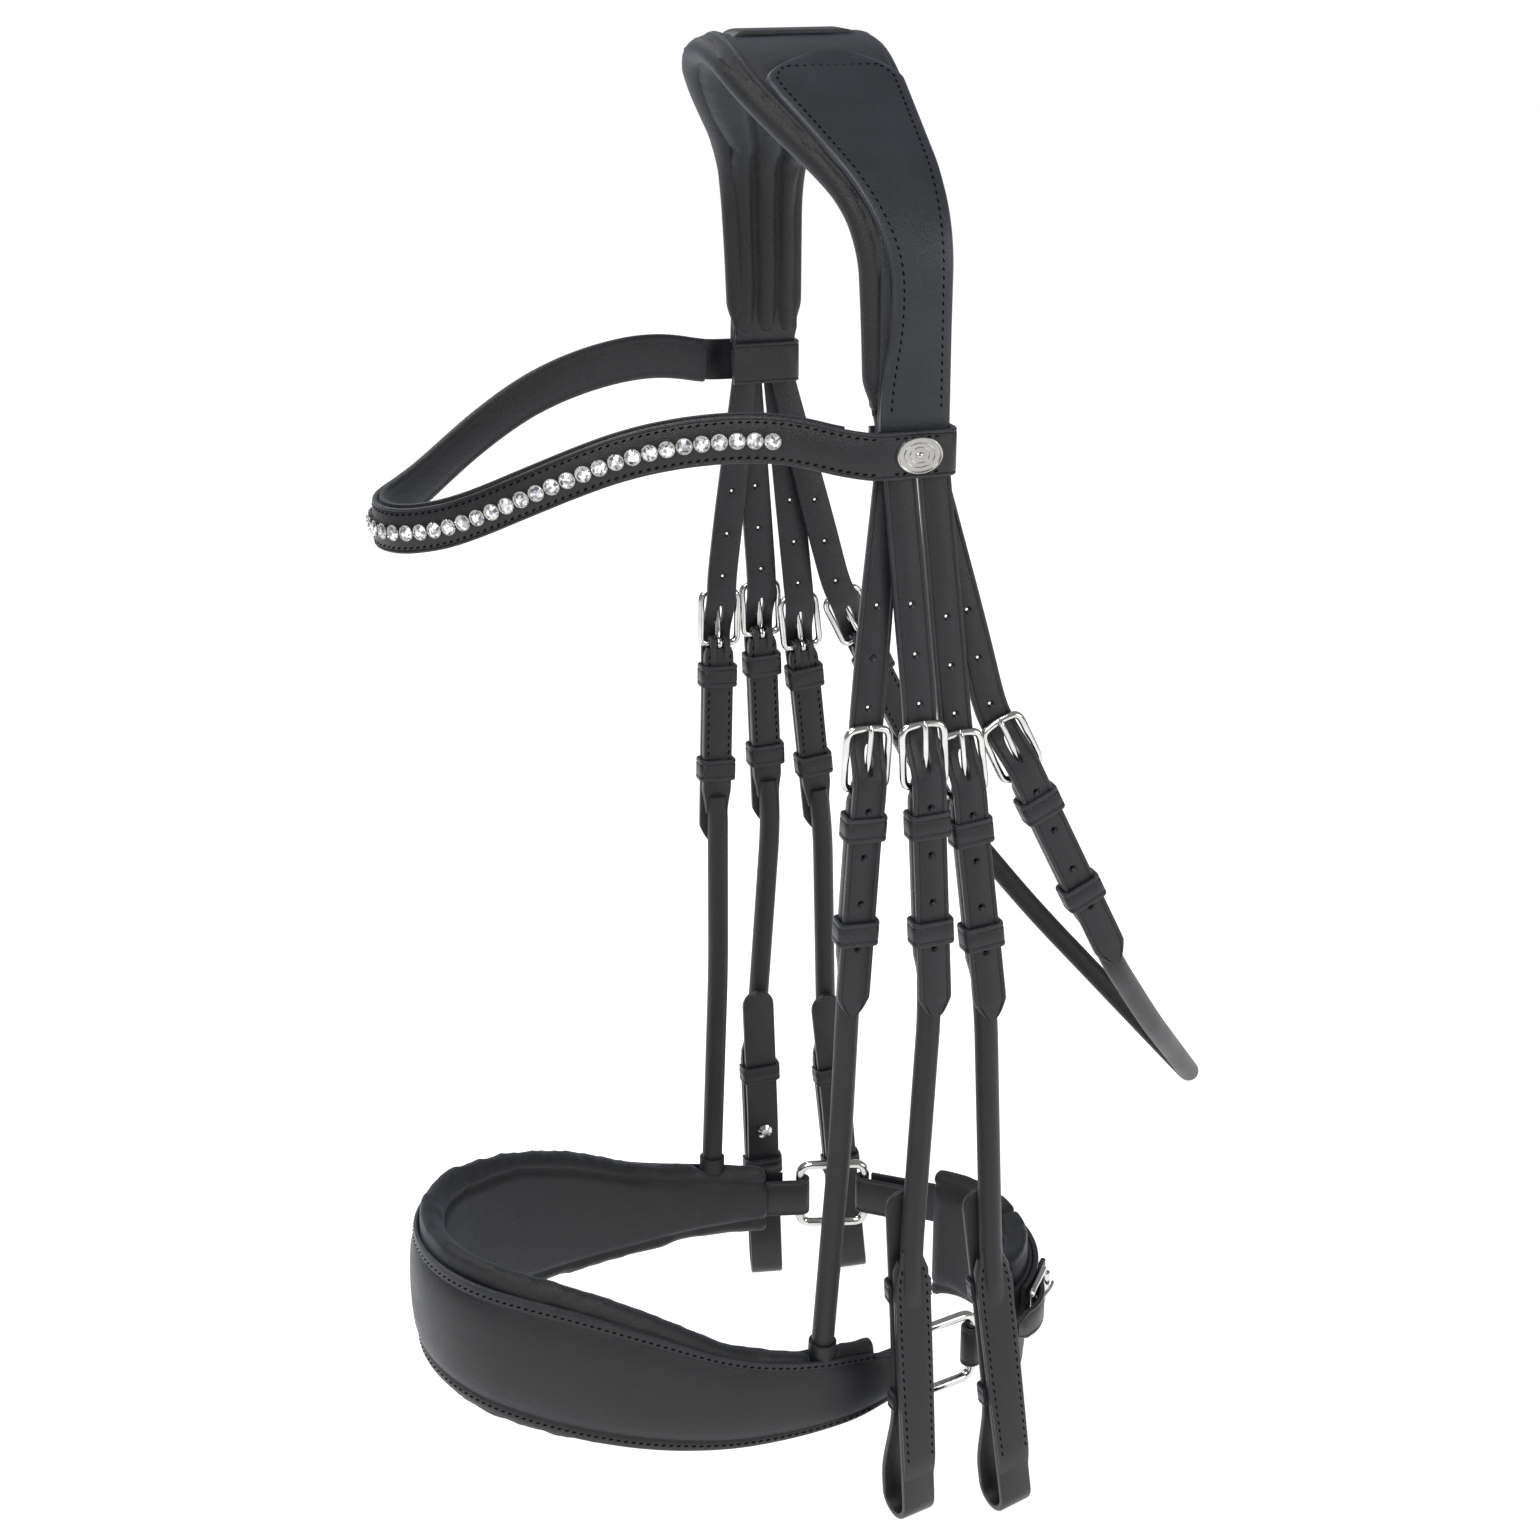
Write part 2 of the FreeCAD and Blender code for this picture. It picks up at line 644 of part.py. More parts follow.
def browband():
    """Shaped leather with end loops, its lining, crystal channel, crystals and end badges."""
    leather = plan_band(BROW_PLAN, 0.0, BROW_LEATHER, wave(8.3, 8.3))
    low = -124.5 - 8.3
    wall = 2.0
    loops = []
    for side in (1, -1):
        outer = Part.makeBox(LOOP_OUT - LOOP_IN, LOOP_REAR - LOOP_FRONT, 16.6, V(LOOP_IN, LOOP_FRONT, low))
        size = (LOOP_OUT - LOOP_IN - 2 * wall, LOOP_REAR - LOOP_FRONT - 3.2, 20.0)
        window = Part.makeBox(size[0], size[1], size[2], V(LOOP_IN + wall, LOOP_FRONT + 1.6, low - 1))
        loop = outer.cut(window)
        loops.append(loop if side > 0 else loop.mirror(V(0, 0, 0), V(1, 0, 0)))
    keep = side_prism([(-200, -60), (-200, -200), (LOOP_FRONT + 1, -200), (LOOP_FRONT + 1, -60)])
    computed("browband", leather.common(keep).fuse(loops).removeSplitter())
    short = side_prism([(-200, -60), (-200, -200), (-6, -200), (-6, -60)])
    lining = plan_band(BROW_PLAN, -3.6, -0.1, wave(8.8, 8.8)).common(short)
    computed("browband_lining", lining)
    channel_end = side_prism([(-200, -60), (-200, -200), (CHANNEL_END, -200), (CHANNEL_END, -60)])
    channel = plan_band(BROW_PLAN, BROW_LEATHER + 0.05, BROW_LEATHER + 1.8, wave(4.0, 4.0))
    channel = channel.common(channel_end)
    badges = []
    for side in (1, -1):
        badge = Part.makeCylinder(8.6, 1.2, V(0, 0, 0), V(1, 0, 0))
        squash = FreeCAD.Matrix()
        squash.scale(V(1, 1, 0.76))
        badge = badge.transformGeometry(squash)
        badge.translate(V(LOOP_OUT + 0.05, 15.6, -124.5))
        badges.append(badge if side > 0 else badge.mirror(V(0, 0, 0), V(1, 0, 0)))
    computed("browband_settings", Part.makeCompound([channel] + badges))
    stones = [Part.makeCone(2.85, 1.5, 1.9, place, normal) for place, normal in crystal_places()]
    computed("crystals", Part.makeCompound(stones))


def crystal_places():
    """Centres and outward normals of the crystals, evenly spaced along the front of the channel."""
    start, legs = BROW_PLAN
    edges = walk(start, 0, legs, BROW_LEATHER + 1.85)
    places = []
    for index in range(CRYSTALS_PER_SIDE + 1):
        left = index * CRYSTAL_PITCH
        for edge in edges:
            if left <= edge.Length:
                break
            left = left - edge.Length
        spot = edge.getParameterByLength(left)
        point = edge.valueAt(spot)
        along = edge.tangentAt(spot)
        height = wave_middle(point.y)
        places.append((V(point.x, point.y, height), V(along.y, -along.x, 0)))
        if index:
            places.append((V(-point.x, point.y, height), V(-along.y, -along.x, 0)))
    return places


def wave_middle(rear):
    """Height of the browband's middle line at a fore-aft position."""
    probe = Part.LineSegment(V(rear, -400, 0), V(rear, 0, 0)).toShape()
    hit = outline_face(wave(0.1, 0.1)).common(probe)
    return (hit.BoundBox.YMin + hit.BoundBox.YMax) / 2


NOSE_PLAN = ((0, -157), [(58, 55), (190, 33), (130, 16), (24, 0)])
NOSE_MIDDLE = -509.0
RING_TURN = 14.0
RING_SPOT = V(68.5, 43.8, NOSE_MIDDLE)
RING_REACH = 15.0
CHIN_BEND = 58.0
CHIN_DEEP = 5.2
CHIN_PLAN = ((0, 106), [(CHIN_BEND, -52), (31.5, 0)])
BORE_GAP = 0.15


def ring_bars():
    """Middles of the front and rear upright bars of the left ring."""
    along = FreeCAD.Rotation(V(0, 0, 1), RING_TURN).multVec(V(0, RING_REACH, 0))
    return RING_SPOT - along, RING_SPOT + along


def knuckle(spot, tall, hollow):
    """Upright leather knuckle round a ring bar, or the bore through it."""
    radius = number(sizes["ring_radius"]) + BORE_GAP
    radius = radius if hollow else radius + 2.4
    grow = 4.0 if hollow else 0.0
    base = V(spot.x, spot.y, spot.z - tall / 2 - grow)
    return Part.makeCylinder(radius, tall + 2 * grow, base)


def noseband(hangers):
    """Wide padded noseband, its outer leather, and the square rings at its ends."""
    front, rear = ring_bars()
    soft = [(-175, -446), (-105, -455, 1), (-50, -479), (-20, -487, 1), (14, -492), (14, -526)]
    soft = soft + [(-50, -529), (-110, -525, 1), (-175, -510)]
    padding = plan_band(NOSE_PLAN, -9.0, -0.15, soft)
    hard = [(-175, -454), (-105, -463, 1), (-50, -484), (-20, -491, 1), (10, -495), (24, -500)]
    hard = hard + [(34, -500), (34, -518), (24, -518), (10, -523), (-50, -525.5)]
    hard = hard + [(-110, -520, 1), (-175, -504)]
    shell = plan_band(NOSE_PLAN, 0.0, 2.8, hard)
    tall = 18.0
    for solid in (1, 0):
        ends = both_sides(knuckle(front, tall, not solid))
        shell = shell.fuse(ends).removeSplitter() if solid else shell.cut(ends)
    for hanger in hangers:
        padding = padding.cut(hanger)
        shell = shell.cut(hanger)
    computed("noseband_shell", shell)
    computed("noseband_padding", padding)
    rings = []
    for side in (1, -1):
        name = "ring_left" if side > 0 else "ring_right"
        turn = FreeCAD.Rotation(V(0, 0, 1), side * RING_TURN)
        top = V(side * RING_SPOT.x, RING_SPOT.y, RING_SPOT.z + number(sizes["ring_size"]) / 2)
        body = doc.addObject("PartDesign::Body", name)
        body.Placement = FreeCAD.Placement(top, turn)
        square = sizes["ring_size"]
        wire_frame(body, square / 2, square, sizes["ring_radius"], sizes["ring_corner"])
        rings.append(body)
    group("noseband_rings", rings)
    return rear


def chin(rear):
    """Chin strap between the rings, padded chin piece, and its roller buckle."""
    start, legs = CHIN_PLAN
    half = 9.5
    level = side_prism([(0, NOSE_MIDDLE - half), (200, NOSE_MIDDLE - half), (200, NOSE_MIDDLE + half),
                        (0, NOSE_MIDDLE + half)])
    inner = upright(band_face(start, 0, legs, -2.6, 0.0))
    outer = upright(band_face(start, 0, [(CHIN_BEND, -50)], -CHIN_DEEP, -2.6))
    strap = both_sides(inner.fuse(outer)).common(level)
    place = chin_place()
    fold = number(fold_radius)
    tall = number(sizes["fold_width"])
    low = place.multVec(V(0, 0, -number(frame_tall)))
    wrap = Part.makeCylinder(fold, tall, V(low.x, low.y, NOSE_MIDDLE - tall / 2))
    bore = Part.makeCylinder(number(bar_radius) + 0.05, tall, V(low.x, low.y, NOSE_MIDDLE - tall / 2))
    slot = Part.makeBox(2 * fold + 2, 3.4, 2 * fold + 2, V(-2.8, -1.7, -number(frame_tall) - fold - 1))
    slot.Placement = place
    tall = 18.0
    strap = strap.fuse(both_sides(knuckle(rear, tall, False))).fuse(wrap).removeSplitter()
    strap = strap.cut(both_sides(knuckle(rear, tall, True))).cut(bore).cut(slot)
    computed("chin_strap", strap)
    pad_face = band_face(start, 0, [(CHIN_BEND, -50)], 0.3, 10.0)
    cushion = both_sides(upright(pad_face)).common(
        side_prism([(50, -546), (60, -554), (150, -546), (150, -488), (60, -488)])
    )
    computed("chin_pad", cushion)
    buckle("chin_buckle", place, sizes["roller_corner"])
    roller = new_body("chin_roller", place)
    tube = circle(new_sketch(roller, "XZ_Plane"), 0.0, 0.0, sizes["roller_radius"])
    circle(tube, 0.0, 0.0, bar_radius + sizes["eye_clearance"])
    pad(roller, tube, sizes["roller_length"])
    prong("chin_prong", place, sizes["roller_radius"])


def chin_place():
    """Placement of the chin buckle: x outward, y down, z rearward along the strap."""
    turn = math.radians(38)
    outward = V(math.sin(turn), math.cos(turn), 0)
    along = V(-math.cos(turn), math.sin(turn), 0)
    centre = V(0, CHIN_PLAN[0][1] - CHIN_BEND, NOSE_MIDDLE)
    middle = centre + outward * (CHIN_BEND + CHIN_DEEP + 1.9)
    spot = middle + along * (number(frame_tall) / 2)
    return FreeCAD.Placement(spot, FreeCAD.Rotation(outward, V(0, 0, -1), along, "XYZ"))


def upright(face):
    """Tall prism over a plan face."""
    solid = face.extrude(V(0, 0, 200))
    solid.translate(V(0, 0, NOSE_MIDDLE - 100))
    return solid


def group(label, parts):
    """One sub-part made of matching left and right pieces on the same body."""
    item = doc.addObject("Part::Compound", label)
    item.Label = label
    item.Links = parts
    nodes[label] = item
    return item


def soft_run(points, trims, radius):
    """Rolled strap through points: straight runs joined by tangent arcs, with a round section."""
    edges = []
    last = points[0]
    for index in range(1, len(points) - 1):
        corner = points[index]
        before = (points[index - 1] - corner).normalize()
        after = (points[index + 1] - corner).normalize()
        trim = trims[index - 1]
        near = corner + before * trim
        far = corner + after * trim
        turn = (math.pi - before.getAngle(after)) / 2
        middle = (before + after).normalize()
        bend = trim / math.tan(turn)
        centre = corner + middle * (trim / math.sin(turn))
        edges.append(Part.LineSegment(last, near).toShape())
        edges.append(Part.Arc(near, centre - middle * bend, far).toShape())
        last = far
    edges.append(Part.LineSegment(last, points[-1]).toShape())
    section = Part.Wire([Part.Circle(points[0], points[1] - points[0], radius).toShape()])
    return Part.Wire(edges).makePipeShell([section], True, True)


def throatlash(places):
    """Rolled throatlash hanging in a V between its two buckles."""
    slabs = []
    ends = []
    for side, place in places:
        body = doc.addObject("PartDesign::Body", "throat_slab")
        body.Placement = place
        fold_and_slab(body)
        slabs.append(body)
        start = place.multVec(V(-number(roll_offset), 0, -number(sizes["slab_end"]) + 1))
        ends.append(start)
    left, right = ends
    points = [left, V(86, 104, -333), V(60, 134.5, -374), V(0, 188, -437), V(-60, 134.5, -374)]
    points = points + [V(-86, 104, -333), right]
    doc.recompute()
    pipe = soft_run(points, [12, 20, 11, 20, 12], number(roll_radius))
    rolled = doc.addObject("Part::Feature", "throat_roll")
    rolled.Shape = pipe
    fuse = doc.addObject("Part::MultiFuse", "throatlash_roll")
    fuse.Label = "throatlash_roll"
    fuse.Shapes = slabs + [rolled]
    nodes["throatlash_roll"] = fuse


# ---------------------------------------------------------------- where everything hangs

ROOT_LEVEL = -127.0
PIVOT_LEVEL = -133.0
OUTER_LAYER = 88.3
INNER_LAYER = 84.2
NOSE_ROOT = 8.9
THROAT_ROOT = 20.8
CHEEKS = {
    # name: across, rear, low, flare, slope, root y, billet shift, root width
    "front": (97.0, 18.0, -223.0, 0.026, 0.045, 9.2, -11.0, 12.0),
    "rear": (93.0, 33.8, -229.5, 0.040, 0.118, 21.9, -8.5, 12.0),
}
NOSE_STATION = (93.0, -1.1, -223.9, -0.050, -0.039)
THROAT_STATION = (88.5, 51.6, -228.2, 0.0, 0.50)
SIDES = (("left", 1), ("right", -1))
stations = {}


def hang_point(label, place, side, across, rear, low, root_width):
    """Strap point whose root lies at a given place under the browband loop."""
    root = place.inverse().multVec(V(side * across, rear, low))
    strap_point(label, place, root.z, root.y, root.x, root_width)


def cheeks():
    """Four cheeks, each with its buckle, prong, runner, keepers and hook stud."""
    for side_name, side in SIDES:
        for cheek_name, values in CHEEKS.items():
            across, rear, low, flare, slope, root_rear, shift, root_width = values
            name = side_name + "_" + cheek_name
            place = station(side, across, rear, low, flare, slope)
            stations[name] = place
            hang_point(name + "_strap_point", place, side, OUTER_LAYER, root_rear, ROOT_LEVEL, root_width)
            cheekpiece(name + "_cheekpiece", place, shift * side, shift * side)
            buckle(name + "_buckle", place)
            prong(name + "_prong", place)
            strap_loop(name + "_runner", place, sizes["runner_reach"], fit_gap)
            cheek_keepers(name + "_keepers", place, shift * side)
            hook_stud(name + "_hook_stud", place, shift * side)


def paired(kind, values, root_rear, root_width):
    """Strap points, buckles and keepers of a strap that crosses the head, grouped left with right."""
    made = {"strap_points": [], "buckles": [], "keepers": []}
    places = []
    for side_name, side in SIDES:
        place = station(side, *values)
        name = kind + "_" + side_name
        stations[name] = place
        places.append((side, place))
        root = place.inverse().multVec(V(side * INNER_LAYER, root_rear, ROOT_LEVEL))
        point = strap_point(name + "_point", place, root.z, root.y, root.x, root_width)
        frame = buckle(name + "_frame", place)
        loop = strap_loop(name + "_loop", place, sizes["keeper_reach"], fit_gap)
        for part_name, part in (("strap_points", point), ("buckles", frame), ("keepers", loop)):
            made[part_name].append(part)
            del nodes[part.Label]
        prong(name + "_prong", place)
        strap_loop(name + "_runner", place, sizes["runner_reach"], fit_gap)
    for part_name, parts in made.items():
        group(kind + "_" + part_name, parts)
    return places


crown()
browband()
cheeks()
nose_places = paired("noseband", NOSE_STATION, NOSE_ROOT, 10.0)
hangers = []
for side, place in nose_places:
    hanger = doc.addObject("PartDesign::Body", "hanger")
    hanger.Placement = place
    fold_and_slab(hanger)
    roll(hanger, [(0.0, -sizes["slab_end"] + 1.0), (1.5 * side, -170.0), (0.0, -274.0)], roll_radius)
    hangers.append(hanger)
group("noseband_hangers", hangers)
doc.recompute()
chin(noseband([hanger.Shape for hanger in hangers]))
throatlash(paired("throatlash", THROAT_STATION, THROAT_ROOT, 10.0))
doc.recompute()

faults = []
for item in doc.Objects:
    if "Invalid" in item.State or "Error" in item.State:
        faults.append(item.Label + " " + str(item.State))
for label, item in nodes.items():
    if item.Shape.isNull() or not item.Shape.isValid() or item.Shape.Volume <= 0:
        faults.append(label + ": bad shape")
if faults:
    raise RuntimeError("; ".join(faults))

os.makedirs("parts", exist_ok=True)
for label, item in nodes.items():
    item.Shape.exportStep(os.path.join("parts", label + ".step"))
print(len(nodes), "sub-parts written")
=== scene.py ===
"""Looks of a black leather double bridle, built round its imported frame."""
import json
import math

import bmesh
import bpy
from mathutils import Matrix, Vector

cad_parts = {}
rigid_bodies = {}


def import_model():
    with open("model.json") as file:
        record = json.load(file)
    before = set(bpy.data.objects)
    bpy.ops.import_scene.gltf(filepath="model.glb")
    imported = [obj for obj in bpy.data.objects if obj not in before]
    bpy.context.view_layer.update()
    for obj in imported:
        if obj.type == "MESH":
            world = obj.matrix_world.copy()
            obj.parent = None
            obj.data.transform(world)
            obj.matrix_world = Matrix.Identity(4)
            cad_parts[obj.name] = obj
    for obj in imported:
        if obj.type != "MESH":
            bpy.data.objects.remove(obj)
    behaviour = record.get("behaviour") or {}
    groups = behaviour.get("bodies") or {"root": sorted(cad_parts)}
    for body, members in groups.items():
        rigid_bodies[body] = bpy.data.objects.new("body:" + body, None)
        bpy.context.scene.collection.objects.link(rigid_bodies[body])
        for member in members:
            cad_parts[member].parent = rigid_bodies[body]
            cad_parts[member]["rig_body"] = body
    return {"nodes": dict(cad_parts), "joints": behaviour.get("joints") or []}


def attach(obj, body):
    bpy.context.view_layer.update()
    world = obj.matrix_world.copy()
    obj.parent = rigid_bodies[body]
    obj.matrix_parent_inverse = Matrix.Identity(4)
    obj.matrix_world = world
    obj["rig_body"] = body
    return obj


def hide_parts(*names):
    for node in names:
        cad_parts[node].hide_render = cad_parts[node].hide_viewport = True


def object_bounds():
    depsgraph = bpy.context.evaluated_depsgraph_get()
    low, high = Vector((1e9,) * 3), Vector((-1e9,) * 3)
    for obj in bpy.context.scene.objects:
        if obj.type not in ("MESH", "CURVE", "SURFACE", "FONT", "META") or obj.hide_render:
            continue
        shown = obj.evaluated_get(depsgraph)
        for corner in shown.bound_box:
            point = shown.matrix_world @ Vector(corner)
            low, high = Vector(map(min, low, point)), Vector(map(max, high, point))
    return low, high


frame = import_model()
cad_box = [[float(value) for value in corner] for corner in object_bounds()]
joints = {joint["name"]: joint for joint in frame["joints"]}

# All lengths below are in millimetres; a piece is made metres when it is finished.
MM = 0.001
SIDES = (("left", 1), ("right", -1))
STRAP_WIDE = 12.7
STRAP_THICK = 2.4
BAR = 1.4
FRAME_TALL = 22.0
SLAB_THICK = 4.2
SLAB_END = 98.0
TIP_REACH = 113.0
ROLL_RADIUS = 4.5
ROLL_DEPTH = 2.25
BILLET_WIDE = 14.5
BILLET_START = 215.0
EYE_REACH = 329.0
BROW_LEVEL = -124.5
ROOT_LEVEL = -120.0
OUTER_LAYER = 88.3
INNER_LAYER = 84.2
SLOT_HALF = 1.8
HOLE_PITCH = 18.5
PINCH = ((-4.5, 1.7), (-1.3, 1.55), (-0.2, 0.55), (0.2, 0.55), (1.3, 1.55), (4.5, 1.7))
STRAP_MIDDLE = 15.85
NOSE_LEVEL = -509.0


# ------------------------------------------------------------------ lines and places


def blend_between(table, value):
    """Height of a line drawn through (position, height) pairs."""
    if value <= table[0][0]:
        return table[0][1]
    for (start, low), (stop, high) in zip(table, table[1:]):
        if value <= stop:
            part = (value - start) / (stop - start)
            return low + (high - low) * part
    return table[-1][1]


def around(table, back, spread=5.0):
    """Height from a table, eased over its corners."""
    return sum(blend_between(table, back + spread * step) for step in (-2, -1, 0, 1, 2)) / 5


def ease(start, stop, value):
    """Smooth step from 0 at start to 1 at stop."""
    part = min(max((value - start) / (stop - start), 0.0), 1.0)
    return part * part * (3 - 2 * part)


def even(start, stop, gap):
    """Points from start to stop, about one gap apart, without the first."""
    count = max(1, round((stop - start).length / gap))
    return [start.lerp(stop, index / count) for index in range(1, count + 1)]


def rounded(corners, reach, gap=5.0):
    """Straight runs whose corners are softened over a reach on either side."""
    corners = [Vector(corner) for corner in corners]
    reaches = reach if isinstance(reach, (list, tuple)) else [reach] * (len(corners) - 2)
    line = [corners[0]]
    for index in range(1, len(corners) - 1):
        corner = corners[index]
        back = corners[index - 1] - corner
        ahead = corners[index + 1] - corner
        near = corner + back.normalized() * min(reaches[index - 1], back.length * 0.49)
        far = corner + ahead.normalized() * min(reaches[index - 1], ahead.length * 0.49)
        line.extend(even(line[-1], near, gap))
        for step in range(1, 7):
            part = step / 6
            line.append(near * (1 - part) ** 2 + corner * (2 * part * (1 - part)) + far * part**2)
    line.extend(even(line[-1], corners[-1], gap))
    return line


def arc(centre, radius, start, stop, level=0.0, count=14):
    """Points on a circle in the across-and-back plane, from one angle to another."""
    line = []
    for index in range(count + 1):
        angle = math.radians(start + (stop - start) * index / count)
        across = centre[0] + radius * math.cos(angle)
        line.append(Vector((across, centre[1] + radius * math.sin(angle), level)))
    return line


def place_at(spot, across, out, ahead):
    """Placement whose x is across a strap, y out of its face and z along it."""
    place = Matrix((across, out, ahead)).transposed().to_4x4()
    place.translation = spot
    return place


def along(line, wide, taper=None):
    """Placements along a line for a strap whose width lies along one direction."""
    wide = Vector(wide)
    places = []
    last = len(line) - 1
    for index, spot in enumerate(line):
        ahead = (line[min(index + 1, last)] - line[max(index - 1, 0)]).normalized()
        out = ahead.cross(wide).normalized()
        across = out.cross(ahead)
        sizes = taper(spot) if taper else (1.0, 1.0)
        places.append(place_at(spot, across * sizes[0], out * sizes[1], ahead))
    return places


def moved(places, whole):
    """The same placements, carried by a placement of the whole."""
    return [whole @ place for place in places]


def plan(start, heading, legs, gap=4.0):
    """Points and headings along arcs (radius, turn) and straights (length, 0)."""
    spot = Vector(start)
    angle = math.radians(heading)
    walk = []
    for extent, turn in legs:
        swing = math.radians(turn)
        length = extent * abs(swing) if turn else extent
        count = max(2, round(length / gap))
        sense = math.copysign(1.0, turn)
        middle = spot + Vector((-math.sin(angle), math.cos(angle))) * extent * sense
        ahead = Vector((math.cos(angle), math.sin(angle)))
        for index in range(count):
            part = index / count
            if turn:
                now = angle + swing * part
                walk.append((middle - Vector((-math.sin(now), math.cos(now))) * extent * sense, now))
            else:
                walk.append((spot + ahead * extent * part, angle))
        if turn:
            angle = angle + swing
            spot = middle - Vector((-math.sin(angle), math.cos(angle))) * extent * sense
        else:
            spot = spot + ahead * extent
    walk.append((spot, angle))
    return walk


def both_ways(walk):
    """A plan walked from its mirrored end, through its start, to its end."""
    mirrored = [(Vector((-spot.x, spot.y)), -angle) for spot, angle in reversed(walk[1:])]
    return mirrored + walk


def station(tongue, slider, tall=FRAME_TALL):
    """Placement of a buckle: x out of the strap, y across it, z up it, origin on its top bar."""
    low = Vector(joints[tongue]["pos_m"]) / MM
    across = Vector(joints[tongue]["axis"]).normalized()
    if slider in joints:
        up = Vector(joints[slider]["axis"]).normalized()
        if joints[slider]["type"] == "hinge":
            up = (Vector(joints[slider]["pos_m"]) / MM - low).normalized()
    out = across.cross(up)
    return place_at(low + up * tall, out, across, up)


# ------------------------------------------------------------------ outlines


def strap_outline(wide, thick, line=1.7, turn=0.55, crown=0.0):
    """Cut strap end-on: rounded edges, and a creased line near each edge of its face."""
    half = wide / 2
    top = thick / 2
    soft = turn * 0.3
    right = [(half - turn, -top, 0.3), (half - soft, soft - top, 0.8), (half, turn - top, 1.0)]
    right += [(half, top - turn, 1.0), (half - soft, top - soft, 1.0), (half - turn, top, 0.8)]
    if line:
        right += [(half - line + 0.42, top + 0.02, 0.3), (half - line, top - 0.3, 0.0)]
        right += [(half - line - 0.42, top + 0.02, 0.1)]
    if crown:
        right += [(half * 0.5, top + crown * 0.75, 0.0), (half * 0.18, top + crown, 0.0)]
    left = [(-across, out, rim) for across, out, rim in reversed(right)]
    return right + left


def round_outline(radius, flat=1.0, seam=0.0, sides=20):
    """Round or oval section; a seam is a shallow groove along its inner side."""
    points = []
    for index in range(sides):
        angle = 2 * math.pi * index / sides - math.pi / 2
        reach = radius - (seam if index == 0 else 0.0)
        points.append((reach * math.cos(angle), reach * flat * math.sin(angle), 0.0))
    return points


def fresh():
    """Empty mesh in the making, with a worn-edge value at each point."""
    made = bmesh.new()
    made.verts.layers.float.new("rim")
    return made


def sweep(made, outline, places):
    """Carries an outline along placements as one closed solid."""
    rim = made.verts.layers.float["rim"]
    corners = []
    for across, out, worn in outline:
        corner = made.verts.new(places[0] @ Vector((across, out, 0.0)))
        corner[rim] = worn
        corners.append(corner)
    start = made.faces.new(corners)
    face = start
    last = places[0]
    for place in places[1:]:
        grown = bmesh.ops.extrude_face_region(made, geom=[face])["geom"]
        if face is not start:
            bmesh.ops.delete(made, geom=[face], context="FACES_ONLY")
        face = [item for item in grown if isinstance(item, bmesh.types.BMFace)][0]
        bmesh.ops.transform(made, matrix=place @ last.inverted(), verts=face.verts[:])
        last = place
    return made


# ------------------------------------------------------------------ finishes


def finish_nodes(name):
    """New material: its nodes, links, shader and output, with a coordinate source."""
    material = bpy.data.materials.new(name)
    material.use_nodes = True
    nodes = material.node_tree.nodes
    shader = nodes["Principled BSDF"]
    place = nodes.new("ShaderNodeTexCoord")
    return material, nodes, material.node_tree.links, shader, place.outputs["Object"]


def noise(nodes, links, source, scale, detail=4.0, rough=0.55, squeeze=None):
    """Noise pattern, drawn out along an axis when squeeze is given."""
    if squeeze:
        mapping = nodes.new("ShaderNodeMapping")
        mapping.inputs["Scale"].default_value = squeeze
        links.new(source, mapping.inputs["Vector"])
        source = mapping.outputs["Vector"]
    pattern = nodes.new("ShaderNodeTexNoise")
    pattern.inputs["Scale"].default_value = scale
    pattern.inputs["Detail"].default_value = detail
    pattern.inputs["Roughness"].default_value = rough
    links.new(source, pattern.inputs["Vector"])
    return pattern.outputs["Fac"]


def graded(nodes, links, value, low, high, start=0.3, stop=0.7):
    """A pattern's value mapped to a range."""
    grade = nodes.new("ShaderNodeMapRange")
    grade.inputs["From Min"].default_value = start
    grade.inputs["From Max"].default_value = stop
    grade.inputs["To Min"].default_value = low
    grade.inputs["To Max"].default_value = high
    links.new(value, grade.inputs["Value"])
    return grade.outputs["Result"]


def mixed(nodes, links, part, first, second):
    """Colour between two, by a part from 0 to 1; a colour may be a socket."""
    mix = nodes.new("ShaderNodeMix")
    mix.data_type = "RGBA"
    links.new(part, mix.inputs["Factor"])
    for socket, colour in (("A", first), ("B", second)):
        target = [item for item in mix.inputs if item.name == socket and item.type == "RGBA"][0]
        if isinstance(colour, tuple):
            target.default_value = (*colour, 1.0)
        else:
            links.new(colour, target)
    return [item for item in mix.outputs if item.type == "RGBA"][0]


def bumped(nodes, links, height, strength, distance, below=None):
    """Relief from a height pattern, laid over another relief."""
    bump = nodes.new("ShaderNodeBump")
    bump.inputs["Strength"].default_value = strength
    bump.inputs["Distance"].default_value = distance
    links.new(height, bump.inputs["Height"])
    if below:
        links.new(below, bump.inputs["Normal"])
    return bump.outputs["Normal"]


